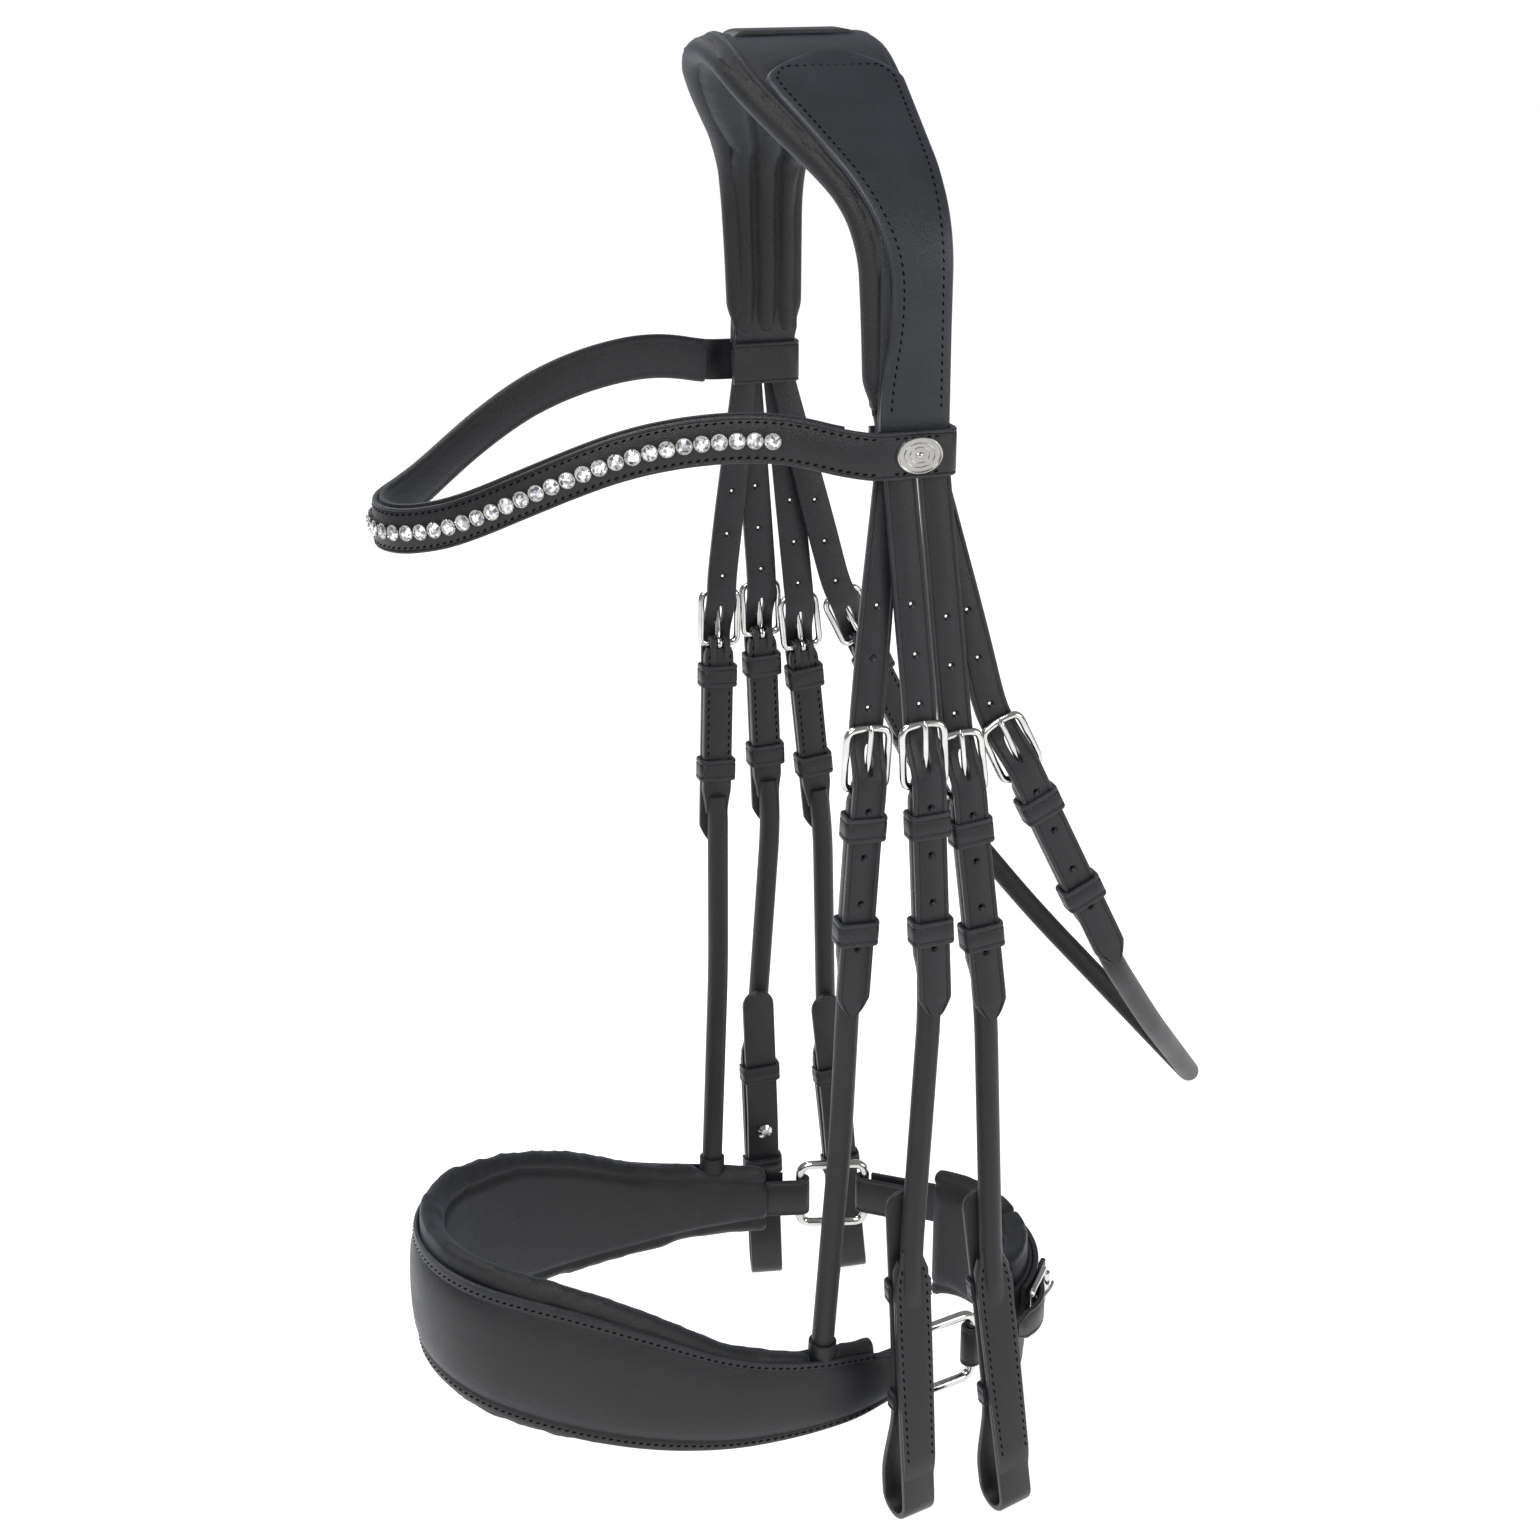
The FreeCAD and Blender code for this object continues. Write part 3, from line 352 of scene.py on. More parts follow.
def leather(name, dark, light, gloss, grain, depth, sheen):
    """Dyed leather: pores and fine grain, uneven dye, and burnished paler edges."""
    material, nodes, links, shader, source = finish_nodes(name)
    cells = nodes.new("ShaderNodeTexVoronoi")
    cells.feature = "DISTANCE_TO_EDGE"
    cells.inputs["Scale"].default_value = grain
    links.new(source, cells.inputs["Vector"])
    creases = graded(nodes, links, cells.outputs["Distance"], 0.0, 1.0, 0.0, 0.22)
    fine = noise(nodes, links, source, grain * 2.4, 3.0)
    folds = noise(nodes, links, source, 150.0, 5.0, 0.6, (1.0, 1.0, 3.4))
    relief = bumped(nodes, links, folds, 0.35, depth * 3.2)
    relief = bumped(nodes, links, creases, 0.5, depth, relief)
    relief = bumped(nodes, links, fine, 0.4, depth * 0.6, relief)
    links.new(relief, shader.inputs["Normal"])
    patches = noise(nodes, links, source, 38.0, 6.0)
    dye = mixed(nodes, links, graded(nodes, links, patches, 0.0, 1.0), dark, light)
    worn = nodes.new("ShaderNodeAttribute")
    worn.attribute_name = "rim"
    rubbed = nodes.new("ShaderNodeMath")
    rubbed.operation = "MULTIPLY"
    links.new(worn.outputs["Fac"], rubbed.inputs[0])
    links.new(graded(nodes, links, noise(nodes, links, source, 90.0), 0.25, 0.9), rubbed.inputs[1])
    edge = tuple(value * 1.8 + 0.002 for value in light)
    links.new(mixed(nodes, links, rubbed.outputs["Value"], dye, edge), shader.inputs["Base Color"])
    shine = graded(nodes, links, patches, gloss - 0.05, gloss + 0.07)
    polished = nodes.new("ShaderNodeMath")
    polished.operation = "MULTIPLY_ADD"
    links.new(worn.outputs["Fac"], polished.inputs[0])
    polished.inputs[1].default_value = -0.1
    links.new(shine, polished.inputs[2])
    links.new(polished.outputs["Value"], shader.inputs["Roughness"])
    shader.inputs["Specular IOR Level"].default_value = 0.36
    shader.inputs["Sheen Weight"].default_value = sheen
    shader.inputs["Sheen Roughness"].default_value = 0.45
    shader.inputs["Sheen Tint"].default_value = (0.62, 0.72, 1.0, 1.0)
    return material


def metal(name, colour, gloss, marks):
    """Polished metal with faint handling marks."""
    material, nodes, links, shader, source = finish_nodes(name)
    shader.inputs["Metallic"].default_value = 1.0
    haze = noise(nodes, links, source, 120.0, 6.0)
    dull = tuple(value * 0.8 for value in colour)
    tint = mixed(nodes, links, graded(nodes, links, haze, 0.0, 1.0), colour, dull)
    links.new(tint, shader.inputs["Base Color"])
    links.new(graded(nodes, links, haze, gloss, gloss + 0.12), shader.inputs["Roughness"])
    scratches = noise(nodes, links, source, 900.0, 2.0, 0.5, (1.0, 1.0, 0.15))
    links.new(bumped(nodes, links, scratches, 0.25, marks), shader.inputs["Normal"])
    return material


def cut_glass(name):
    """Foil-backed clear stone: bright and dark facets painted into its colour as reflections, with a little
    depth.
    """
    material, nodes, links, shader, source = finish_nodes(name)
    facets = nodes.new("ShaderNodeTexVoronoi")
    facets.inputs["Scale"].default_value = 850.0
    links.new(source, facets.inputs["Vector"])
    # Painted reflections: cells of the colour are white or dark grey, as facets that catch or miss the light.
    painted_facet_reflections = graded(nodes, links, facets.outputs["Color"], 0.0, 1.0, 0.3, 0.7)
    tint = mixed(nodes, links, painted_facet_reflections, (1.0, 1.0, 1.0), (0.2, 0.21, 0.24))
    links.new(tint, shader.inputs["Base Color"])
    shader.inputs["Metallic"].default_value = 0.55
    shader.inputs["Roughness"].default_value = 0.04
    shader.inputs["IOR"].default_value = 1.9
    shader.inputs["Transmission Weight"].default_value = 0.25
    shader.inputs["Coat Weight"].default_value = 1.0
    shader.inputs["Coat Roughness"].default_value = 0.02
    return material


def waxed_thread(name):
    """Waxed sewing thread, nearly black, with a twisted surface."""
    material, nodes, links, shader, source = finish_nodes(name)
    twist = noise(nodes, links, source, 2600.0, 2.0)
    part = graded(nodes, links, twist, 0.0, 1.0)
    dye = mixed(nodes, links, part, (0.0008, 0.0008, 0.0009), (0.0028, 0.0028, 0.003))
    links.new(dye, shader.inputs["Base Color"])
    links.new(bumped(nodes, links, twist, 0.6, 0.0002), shader.inputs["Normal"])
    shader.inputs["Roughness"].default_value = 0.85
    shader.inputs["Specular IOR Level"].default_value = 0.05
    return material


FINISHES = {
    "bridle": (leather("bridle_leather", (0.0045, 0.0047, 0.0053), (0.0085, 0.009, 0.0105),
                       0.4, 1500.0, 0.00009, 0.05), "black_leather"),
    "smooth": (leather("smooth_leather", (0.009, 0.0098, 0.0125), (0.0135, 0.0147, 0.0185),
                       0.36, 2100.0, 0.00005, 0.1), "black_leather"),
    "rolled": (leather("rolled_leather", (0.004, 0.0042, 0.0046), (0.0075, 0.0079, 0.0088),
                       0.42, 1500.0, 0.0001, 0.04), "black_leather"),
    "lining": (leather("lining_leather", (0.0038, 0.004, 0.0043), (0.0078, 0.0081, 0.0088),
                       0.5, 1100.0, 0.00017, 0.1), "soft_leather"),
    "steel": (metal("polished_steel", (0.66, 0.65, 0.635), 0.08, 0.00003), "steel"),
    "silver": (metal("silver_settings", (0.46, 0.45, 0.43), 0.2, 0.00004), "settings"),
    "stone": (cut_glass("clear_stones"), "crystal"),
    "thread": (waxed_thread("black_thread"), "black_leather"),
}


def body_of(node):
    """Name of the body that a node moves with."""
    return frame["nodes"][node]["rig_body"]


def finished(name, made, finish, body, *nodes, angle=0.75):
    """Turns a mesh in the making into a piece that rides a body and stands for its nodes."""
    bmesh.ops.recalc_face_normals(made, faces=made.faces[:])
    bmesh.ops.scale(made, vec=(MM, MM, MM), verts=made.verts[:])
    for face in made.faces:
        face.smooth = True
    for edge in made.edges:
        edge.smooth = edge.calc_face_angle(0.0) < angle
    mesh = bpy.data.meshes.new(name)
    made.to_mesh(mesh)
    made.free()
    mesh.materials.append(FINISHES[finish][0])
    piece = bpy.data.objects.new(name, mesh)
    bpy.context.scene.collection.objects.link(piece)
    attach(piece, body)
    if nodes:
        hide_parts(*nodes)
    return piece


# ------------------------------------------------------------------ sewing

rows = {}


def sew(body, places, across, out, start=0.0, stop=1.0, pitch=3.1, long=2.0, slant=0.22):
    """Row of stitches beside the middle of a strap, lying in its face."""
    if body not in rows:
        rows[body] = fresh()
    first = int(start * (len(places) - 1))
    last = int(stop * (len(places) - 1))
    spots = []
    for place in places[first : last + 1]:
        side = across(place) if callable(across) else across
        height = out(place) if callable(out) else out
        spots.append((place @ Vector((side, height, 0.0)), place.col[1].to_3d().normalized()))
    stitch_line(body, spots, pitch, long, slant)


def stitch_line(body, spots, pitch=3.1, long=2.0, slant=0.22):
    """Stitches at even gaps along surface points with their outward directions."""
    if body not in rows:
        rows[body] = fresh()
    wait = pitch * 0.5
    for (here, out), (there, after) in zip(spots, spots[1:]):
        gap = (there - here).length
        if gap < 1e-6:
            continue
        ahead = (there - here) / gap
        while wait < gap:
            up = out.lerp(after, wait / gap).normalized()
            way = Matrix.Rotation(slant, 3, up) @ ahead
            side = up.cross(way).normalized()
            stitch = place_at(here + ahead * wait, way * long / 2, side * 0.42, up * 0.3)
            bmesh.ops.create_icosphere(rows[body], subdivisions=1, radius=1.0, matrix=stitch)
            wait = wait + pitch
        wait = wait - gap


# ------------------------------------------------------------------ pieces at a buckle


def strap_point(made, cutter, whole, root_back, root_in, root_wide):
    """Punched strap: behind the top bar, through the frame, over the lower bar, to its tip."""
    root = whole.inverted() @ Vector((root_in, root_back, ROOT_LEVEL))
    corners = [root, (-2.95, 0, 6.9), (-2.95, 0, -3.5), (5.0, 0, -16.8), (5.0, 0, -27.0)]
    corners += [(3.75, 0, -37.0), (3.75, 0, -70.0), (3.75, 0, -TIP_REACH)]
    line = rounded(corners, [9.0, 4.5, 4.5, 4.0, 4.5, 4.0], 3.5)
    tip = [Vector((3.75, 0, -TIP_REACH + rise)) for rise in (8.0, 6.5, 5.0, 3.6, 2.4, 1.4, 0.6, 0.0)]
    line = [spot for spot in line if spot.z > -TIP_REACH + 9.0] + tip
    root_part = root_wide / STRAP_WIDE

    def taper(spot):
        wide = root_part + (1 - root_part) * ease(root.z, 25.0, spot.z) if spot.z > 7 else 1.0
        left = spot.z + TIP_REACH
        if left < 8.2:
            wide = max(0.05, math.sqrt(max(left, 0.0) / 8.2) * 0.92 + left / 8.2 * 0.08)
        thin = 1.0 if left > 3 else 0.75 + left / 12
        return wide, thin

    places = moved(along(line, (0, 1, 0), taper), whole)
    sweep(made, strap_outline(STRAP_WIDE, STRAP_THICK), places)
    for count in range(-4, 4):
        up = -10.5 + HOLE_PITCH * count
        spot = min(line, key=lambda point: abs(point.z - up))
        hole = whole @ Matrix.Translation((spot.x, spot.y, up)) @ Matrix.Rotation(math.pi / 2, 4, "Y")
        if count == 0:
            hole = hole @ Matrix.Diagonal((3.0, 0.9, 1.0, 1.0))
        if count == 0:
            bmesh.ops.create_cone(cutter, cap_ends=True, segments=20, radius1=SLOT_HALF,
                                  radius2=SLOT_HALF, depth=9.0, matrix=hole)
            continue
        pinch = [hole @ Matrix.Translation((0, 0, deep)) @ Matrix.Diagonal((wide, wide, 1.0, 1.0))
                 for deep, wide in PINCH]
        sweep(cutter, round_outline(1.0, 1.0, 0.0, 16), pinch)


def punched(piece, cutter, name):
    """Cuts the punched holes right through a strap, and keeps only the cut strap."""
    bmesh.ops.recalc_face_normals(cutter, faces=cutter.faces[:])
    bmesh.ops.scale(cutter, vec=(MM, MM, MM), verts=cutter.verts[:])
    mesh = bpy.data.meshes.new(name)
    cutter.to_mesh(mesh)
    cutter.free()
    tool = bpy.data.objects.new(name, mesh)
    bpy.context.scene.collection.objects.link(tool)
    cut = piece.modifiers.new("punch", "BOOLEAN")
    cut.operation = "DIFFERENCE"
    cut.solver = "EXACT"
    cut.object = tool
    applied(piece)
    bpy.data.objects.remove(tool)


def applied(piece):
    """Fixes a piece's modifiers into its mesh."""
    bpy.context.view_layer.update()
    graph = bpy.context.evaluated_depsgraph_get()
    mesh = bpy.data.meshes.new_from_object(piece.evaluated_get(graph))
    piece.modifiers.clear()
    piece.data = mesh


def loop_places(left, right, back, front, level, turn=2.4, gap=3.0):
    """Placements round a strap at a level, starting and ending behind it."""
    middle = (left + right) / 2
    corners = [(back, middle, level), (back, left, level), (front, left, level)]
    corners += [(front, right, level), (back, right, level), (back, middle, level)]
    return along(rounded(corners, turn, gap), (0, 0, 1))


def wire(made, whole, half, tall, corner, radius, bow=0.0, flat=1.0):
    """Bent wire frame whose join is in the middle of its lower bar."""
    corners = [(0, 0, -tall), (0, -half, -tall), (0, -half, 0), (0, -half * 0.3, bow)]
    corners += [(0, half * 0.3, bow), (0, half, 0), (0, half, -tall), (0, 0, -tall)]
    line = rounded(corners, [corner, corner * 1.15, 3.0, 3.0, corner * 1.15, corner], 3.0)
    sweep(made, round_outline(radius, flat, 0.0, 16), moved(along(line, (1, 0, 0)), whole))


def tongue(made, whole, bar=BAR):
    """Tapered prong with an eye round the lower bar and its tip over the top bar."""
    rest = bar + 1.3
    corners = [(0.9, 0, -FRAME_TALL + 1.6), (1.7, 0, -FRAME_TALL + 5.0)]
    corners += [(rest - 0.1, 0, -4.0), (rest + 0.1, 0, 0.0), (rest - 0.6, 0, 2.9)]
    line = rounded(corners, 2.5, 1.8)

    def taper(spot):
        part = ease(-20.0, 2.0, spot.z)
        end = 1.0 if spot.z < 1.6 else max(0.35, 1.0 - (spot.z - 1.6) * 0.45)
        return (1.15 - 0.25 * part) * end, (1.0 - 0.2 * part) * end

    sweep(made, round_outline(1.08, 0.92, 0.0, 14), moved(along(line, (0, 1, 0), taper), whole))
    eye = [Vector((math.cos(turn) * 2.05, 0, -FRAME_TALL + math.sin(turn) * 2.05))
           for turn in [math.radians(angle) for angle in range(-50, 311, 18)]]
    sweep(made, round_outline(0.62, 2.0, 0.0, 12), moved(along(eye, (1, 0, 0)), whole))


def slab_taper(spot):
    """Buckle leather narrows where it is rolled."""
    part = ease(-SLAB_END + 12, -SLAB_END, spot.z)
    return 1.0 - 0.26 * part, 1.0 + 0.15 * part


def buckle_leather(made, whole, body):
    """Leather folded round the lower bar in two lugs, and stitched double below it."""
    bar = -FRAME_TALL
    for lug in (-3.05, 3.05):
        line = [Vector((-1.15, lug, bar - 9.0)), Vector((-1.7, lug, bar - 5.0))]
        line += [Vector((math.cos(math.radians(angle)) * 2.5, lug, bar + math.sin(math.radians(angle)) * 2.5))
                 for angle in range(210, -31, -20)]
        line += [Vector((1.7, lug, bar - 5.0)), Vector((1.15, lug, bar - 9.0))]
        sweep(made, strap_outline(2.7, 1.9, 0.0), moved(along(line, (0, 1, 0)), whole))
    shoulder = [Vector((0, 0, bar - low)) for low in (1.95, 2.6, 4.0, 6.0)]
    line = shoulder + even(shoulder[-1], Vector((0, 0, -SLAB_END)), 5.0)

    def taper(spot):
        wide, thick = slab_taper(spot)
        return wide * (0.86 + 0.14 * ease(bar - 1.9, bar - 5, spot.z)), thick

    places = moved(along(line, (0, 1, 0), taper), whole)
    outline = strap_outline(STRAP_WIDE, SLAB_THICK, 0.0, 0.8)
    sweep(made, outline, places)
    for across in (-4.6, 4.6):
        for face in (-SLAB_THICK / 2, SLAB_THICK / 2):
            sew(body, places, across, face, 0.12, 0.86, 3.3, 2.2)


def keeper(made, whole, reach, slack=0.3):
    """Flat loop of creased leather round the strap and the leather behind it."""
    half = STRAP_WIDE / 2 + slack + 0.7
    places = loop_places(-half, half, -SLAB_THICK / 2 - slack - 0.7, 3.75 + 1.2 + slack + 0.7, -reach + 4.75)
    sweep(made, strap_outline(9.5, 1.5, 1.9, 0.45), moved(places, whole))


def rolled_strap(made, whole, corners, reach, radius=ROLL_RADIUS, taper=None):
    """Leather rolled round a cord, with its seam on the inner side."""
    line = rounded(corners, reach, 5.0)
    sweep(made, round_outline(radius, 1.0, 0.35, 22), moved(along(line, (0, 1, 0), taper), whole))
    return line


def billet(made, whole, shift, sense, body, name):
    """Flat billet: doubled outer leg, loop for the bit, and the strap that comes back up inside."""
    pivot = Vector((-ROLL_DEPTH, shift, 0))

    def twisted(places):
        turned = []
        for place in places:
            angle = sense * math.radians(13) * ease(-246.0, -322.0, place.translation.z)
            spin = Matrix.Translation(pivot) @ Matrix.Rotation(angle, 4, "Z") @ Matrix.Translation(-pivot)
            turned.append(whole @ spin @ place)
        return turned

    low = -EYE_REACH
    out = -2.95
    inside = -17.55
    line = even(Vector((out, shift, -BILLET_START - 2)), Vector((out, shift, low)), 5.0)
    line = [Vector((out, shift, -BILLET_START - 2))] + line
    middle = (out + inside) / 2
    bend = (out - inside) / 2
    for step in range(1, 17):
        angle = -math.pi * step / 16
        line.append(Vector((middle + math.cos(angle) * bend, shift, low + math.sin(angle) * bend)))
    back = [(inside, shift, low), (inside, shift, -317), (-8.55, shift, -288), (-8.55, shift, -197)]
    line += rounded(back, 9.0, 5.0)[1:]
    line += [Vector((-8.55, shift, -190 - drop)) for drop in (5.5, 4.0, 2.6, 1.4, 0.5, 0.0)]

    def taper(spot):
        if spot.x < -8.0 and spot.z > -197:
            left = (-190 - spot.z) / 7.0
            return max(0.1, math.sqrt(max(0.0, 1 - (1 - left) ** 2))), 1.0
        if spot.x > -4.0 and spot.z > -BILLET_START - 8:
            return 0.7 + 0.3 * ease(-BILLET_START, -BILLET_START - 8, spot.z), 1.0
        return 1.0, 1.0

    sweep(made, strap_outline(BILLET_WIDE, 2.6, 0.0, 0.7), twisted(along(line, (0, 1, 0), taper)))
    cover = even(Vector((-0.95, shift, -BILLET_START)), Vector((-0.95, shift, -307)), 4.0)
    cover = [Vector((-0.95, shift, -BILLET_START + 3))] + cover
    cover += [Vector((-0.95 - 0.012 * drop * drop, shift, -307 - drop)) for drop in (3.0, 6.0, 9.0, 12.0)]

    def lie(spot):
        wide = 0.55 + 0.45 * ease(-BILLET_START + 4, -BILLET_START - 14, spot.z)
        thin = 1.0 if spot.z > -307 else max(0.12, 1 + (spot.z + 307) / 13.5)
        return wide, thin

    places = twisted(along(cover, (0, 1, 0), lie))
    sweep(made, strap_outline(BILLET_WIDE, 1.5, 0.0, 0.45, 0.25), places)
    for across in (-5.6, 5.6):
        sew(body, places, across, 0.8, 0.07, 0.86, 3.7, 2.4)
    for reach in (236.0, 285.0):
        left = shift - BILLET_WIDE / 2 - 1.0
        right = shift + BILLET_WIDE / 2 + 1.0
        front = -4.3
        behind = -10.95
        corners = [(front, left, 4 - reach), (behind, left, 4 - reach), (behind, right, 4 - reach)]
        corners += [(front, right, 4 - reach)]
        ring = along(rounded(corners, 2.4, 3.0), (0, 0, -1))
        loops[name] = sweep(loops.get(name) or fresh(), strap_outline(8.0, 1.4, 1.6, 0.4), twisted(ring))


loops = {}


def cheek(name, sense, root_back, shift, root_wide):
    """Everything on one cheek, from under the browband to the bit loop."""
    whole = station(name + "_tongue_hinge", name + "_slider_slide")
    body = name + "_cheek"
    made = fresh()
    cutter = fresh()
    strap_point(made, cutter, whole, root_back, OUTER_LAYER * sense, root_wide)
    piece = finished(name + "_punched_strap", made, "bridle", body, name + "_strap_point")
    punched(piece, cutter, name + "_punch")
    made = fresh()
    buckle_leather(made, whole, body)
    sway = shift * sense
    corners = [(-ROLL_DEPTH, 0, -90), (-ROLL_DEPTH, 0, -112), (-ROLL_DEPTH, sway, -217)]
    corners += [(-1.75, sway, -245)]

    def flatten(spot):
        top = ease(-88, -100, spot.z)
        part = ease(-224, -245, spot.z)
        return (0.85 + 0.15 * top) * (1.0 + 0.12 * part), (0.55 + 0.45 * top) * (1.0 - 0.78 * part)

    rolled_strap(made, whole, corners, [12, 12], ROLL_RADIUS, flatten)
    billet(made, whole, sway, sense, body, name)
    finished(name + "_buckle_leather_and_billet", made, "rolled", body, name + "_cheekpiece")
    made = loops[name]
    keeper(made, whole, 41.0)
    finished(name + "_fixed_loops", made, "bridle", body, name + "_keepers")
    made = fresh()
    wire(made, whole, 8.05, FRAME_TALL, 3.5, BAR, 1.1)
    finished(name + "_buckle_frame", made, "steel", body, name + "_buckle")
    slide_and_tongue(name, whole)


def slide_and_tongue(name, whole):
    """The sliding loop and the prong of one buckle."""
    made = fresh()
    keeper(made, whole, 83.0)
    finished(name + "_sliding_loop", made, "bridle", name + "_slider", name + "_runner")
    made = fresh()
    tongue(made, whole)
    finished(name + "_buckle_tongue", made, "steel", name + "_tongue", name + "_prong")


def crossing(kind, root_back, root_wide):
    """Straps, buckles and loops of a part that hangs from both sides of the headpiece."""
    straps = fresh()
    cutter = fresh()
    frames = fresh()
    fixed = fresh()
    folded = fresh()
    wholes = []
    for side, sense in SIDES:
        name = kind + "_" + side
        whole = station(name + "_tongue_hinge", name + "_slider_slide")
        wholes.append(whole)
        strap_point(straps, cutter, whole, root_back, INNER_LAYER * sense, root_wide)
        wire(frames, whole, 8.05, FRAME_TALL, 3.5, BAR, 1.1)
        keeper(fixed, whole, 41.0)
        buckle_leather(folded, whole, kind)
        slide_and_tongue(name, whole)
    piece = finished(kind + "_punched_straps", straps, "bridle", kind, kind + "_strap_points")
    punched(piece, cutter, kind + "_punch")
    finished(kind + "_buckle_frames", frames, "steel", kind, kind + "_buckles")
    finished(kind + "_fixed_loops", fixed, "bridle", kind, kind + "_keepers")
    return wholes, folded


# ------------------------------------------------------------------ stuffed pieces


def softened(made, turns):
    """Evens out a mesh in the making, a number of times."""
    for turn in range(turns):
        bmesh.ops.smooth_vert(made, verts=made.verts[:], factor=0.5,
                              use_axis_x=True, use_axis_y=True, use_axis_z=True)


def opened(piece):
    """A piece's mesh, ready to be changed."""
    made = bmesh.new()
    made.from_mesh(piece.data)
    return made


def shut(piece, made):
    """Puts a changed mesh back into its piece."""
    made.to_mesh(piece.data)
    made.free()


def puffed(name, node, finish, voxel, swell, shape=None):
    """Padded piece: its cut shape is stuffed, let swell a little, and then sewn."""
    piece = bpy.data.objects.new(name, frame["nodes"][node].data.copy())
    bpy.context.scene.collection.objects.link(piece)
    made = opened(piece)
    bmesh.ops.remove_doubles(made, verts=made.verts[:], dist=0.00002)
    bmesh.ops.recalc_face_normals(made, faces=made.faces[:])
    shut(piece, made)
    shell = piece.modifiers.new("skin", "REMESH")
    shell.mode = "VOXEL"
    shell.voxel_size = voxel * MM
    applied(piece)
    made = opened(piece)
    made.normal_update()
    for corner in made.verts:
        corner.co = corner.co - corner.normal * 0.0003
    softened(made, 8)
    shut(piece, made)
    stuffed(piece, swell)
    made = opened(piece)
    softened(made, 2)
    shut(piece, made)
    finer = piece.modifiers.new("finer", "SUBSURF")
    finer.levels = 1
    finer.render_levels = 1
    applied(piece)
    if shape:
        sewn(piece, shape)
    for face in piece.data.polygons:
        face.use_smooth = True
    piece.data.materials.clear()
    piece.data.materials.append(FINISHES[finish][0])
    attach(piece, body_of(node))
    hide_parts(node)
    return piece


def stuffed(piece, swell):
    """Lets the stuffing push the cover out, by no more than a set distance."""
    before = [corner.co.copy() for corner in piece.data.vertices]
    cloth = piece.modifiers.new("stuffing", "CLOTH")
    cloth.settings.mass = 0.001
    cloth.settings.use_pressure = True
    cloth.settings.uniform_pressure_force = 4.0
    cloth.settings.effector_weights.gravity = 0.0
    cloth.settings.tension_stiffness = 5.0
    cloth.settings.compression_stiffness = 5.0
    cloth.settings.bending_stiffness = 0.02
    cloth.collision_settings.use_collision = False
    cloth.point_cache.frame_start = 1
    cloth.point_cache.frame_end = 20
    for step in range(1, 21):
        bpy.context.scene.frame_set(step)
    applied(piece)
    bpy.context.scene.frame_set(1)
    for corner, start in zip(piece.data.vertices, before):
        move = corner.co - start
        if move.length > swell * MM:
            corner.co = start + move.normalized() * swell * MM


def sewn(piece, depth):
    """Presses sewn lines into a stuffed piece; depth gives millimetres at a point."""
    made = opened(piece)
    made.normal_update()
    shifts = []
    for corner in made.verts:
        shifts.append(corner.normal * depth(corner.co / MM, corner.normal) * MM)
    for corner, shift in zip(made.verts, shifts):
        corner.co = corner.co - shift
    shut(piece, made)


def groove(distance, deep, wide):
    """Depth of a sewn groove at a distance from its line."""
    return deep * math.exp(-((distance / wide) ** 2))


# ------------------------------------------------------------------ crown

ARCH = [(41.6, -37), (46.0, 0), (36.6, -53), (53.4, 0)]
PAD_FRONT = [(-120, 2), (-80, 0.5), (-55, -1), (-37, -6), (-21, -19), (-7, -30), (4, -36), (20, -35)]
PAD_REAR = [(-120, 29), (-40, 29.5), (20, 28.5)]
PANEL_FRONT = [(-120, 3.1), (-104, 3.1), (-82, 7), (-60, 7), (-40, 0), (-18, -13), (0, -25), (20, -25)]
PANEL_REAR = [(-120, 28.6), (20, 28.0)]


def arch_points(height, stop=None, gap=2.0):
    """Points over the poll at a height above the lining, from right to left, with their out directions."""
    walk = both_ways(plan((0, 0), 0, ARCH, gap))
    points = []
    for spot, angle in walk:
        out = Vector((-math.sin(angle), 0, math.cos(angle)))
        place = Vector((spot.x, 0, spot.y)) + out * height
        if stop is None or place.z >= stop:
            points.append((place, out))
    return points


def crown_roll(made, height, inset, radius, flat, table, sign, stop):
    """Soft roll that follows the front or rear edge of the crown over both sides."""
    runs = []
    for spot, out in arch_points(height, stop):
        back = around(table, spot.z, 4.0) + sign * inset
        runs.append((Vector((spot.x, back, spot.z)), out))
    places = []
    last = len(runs) - 1
    for index, (spot, out) in enumerate(runs):
        ahead = (runs[min(index + 1, last)][0] - runs[max(index - 1, 0)][0]).normalized()
        side = out.cross(ahead).normalized()
        size = 0.3 + 0.7 * ease(0, 7, min(index, last - index))
        places.append(place_at(spot, side * size, ahead.cross(side) * size, ahead))
    sweep(made, round_outline(radius, flat, 0.0, 16), places)


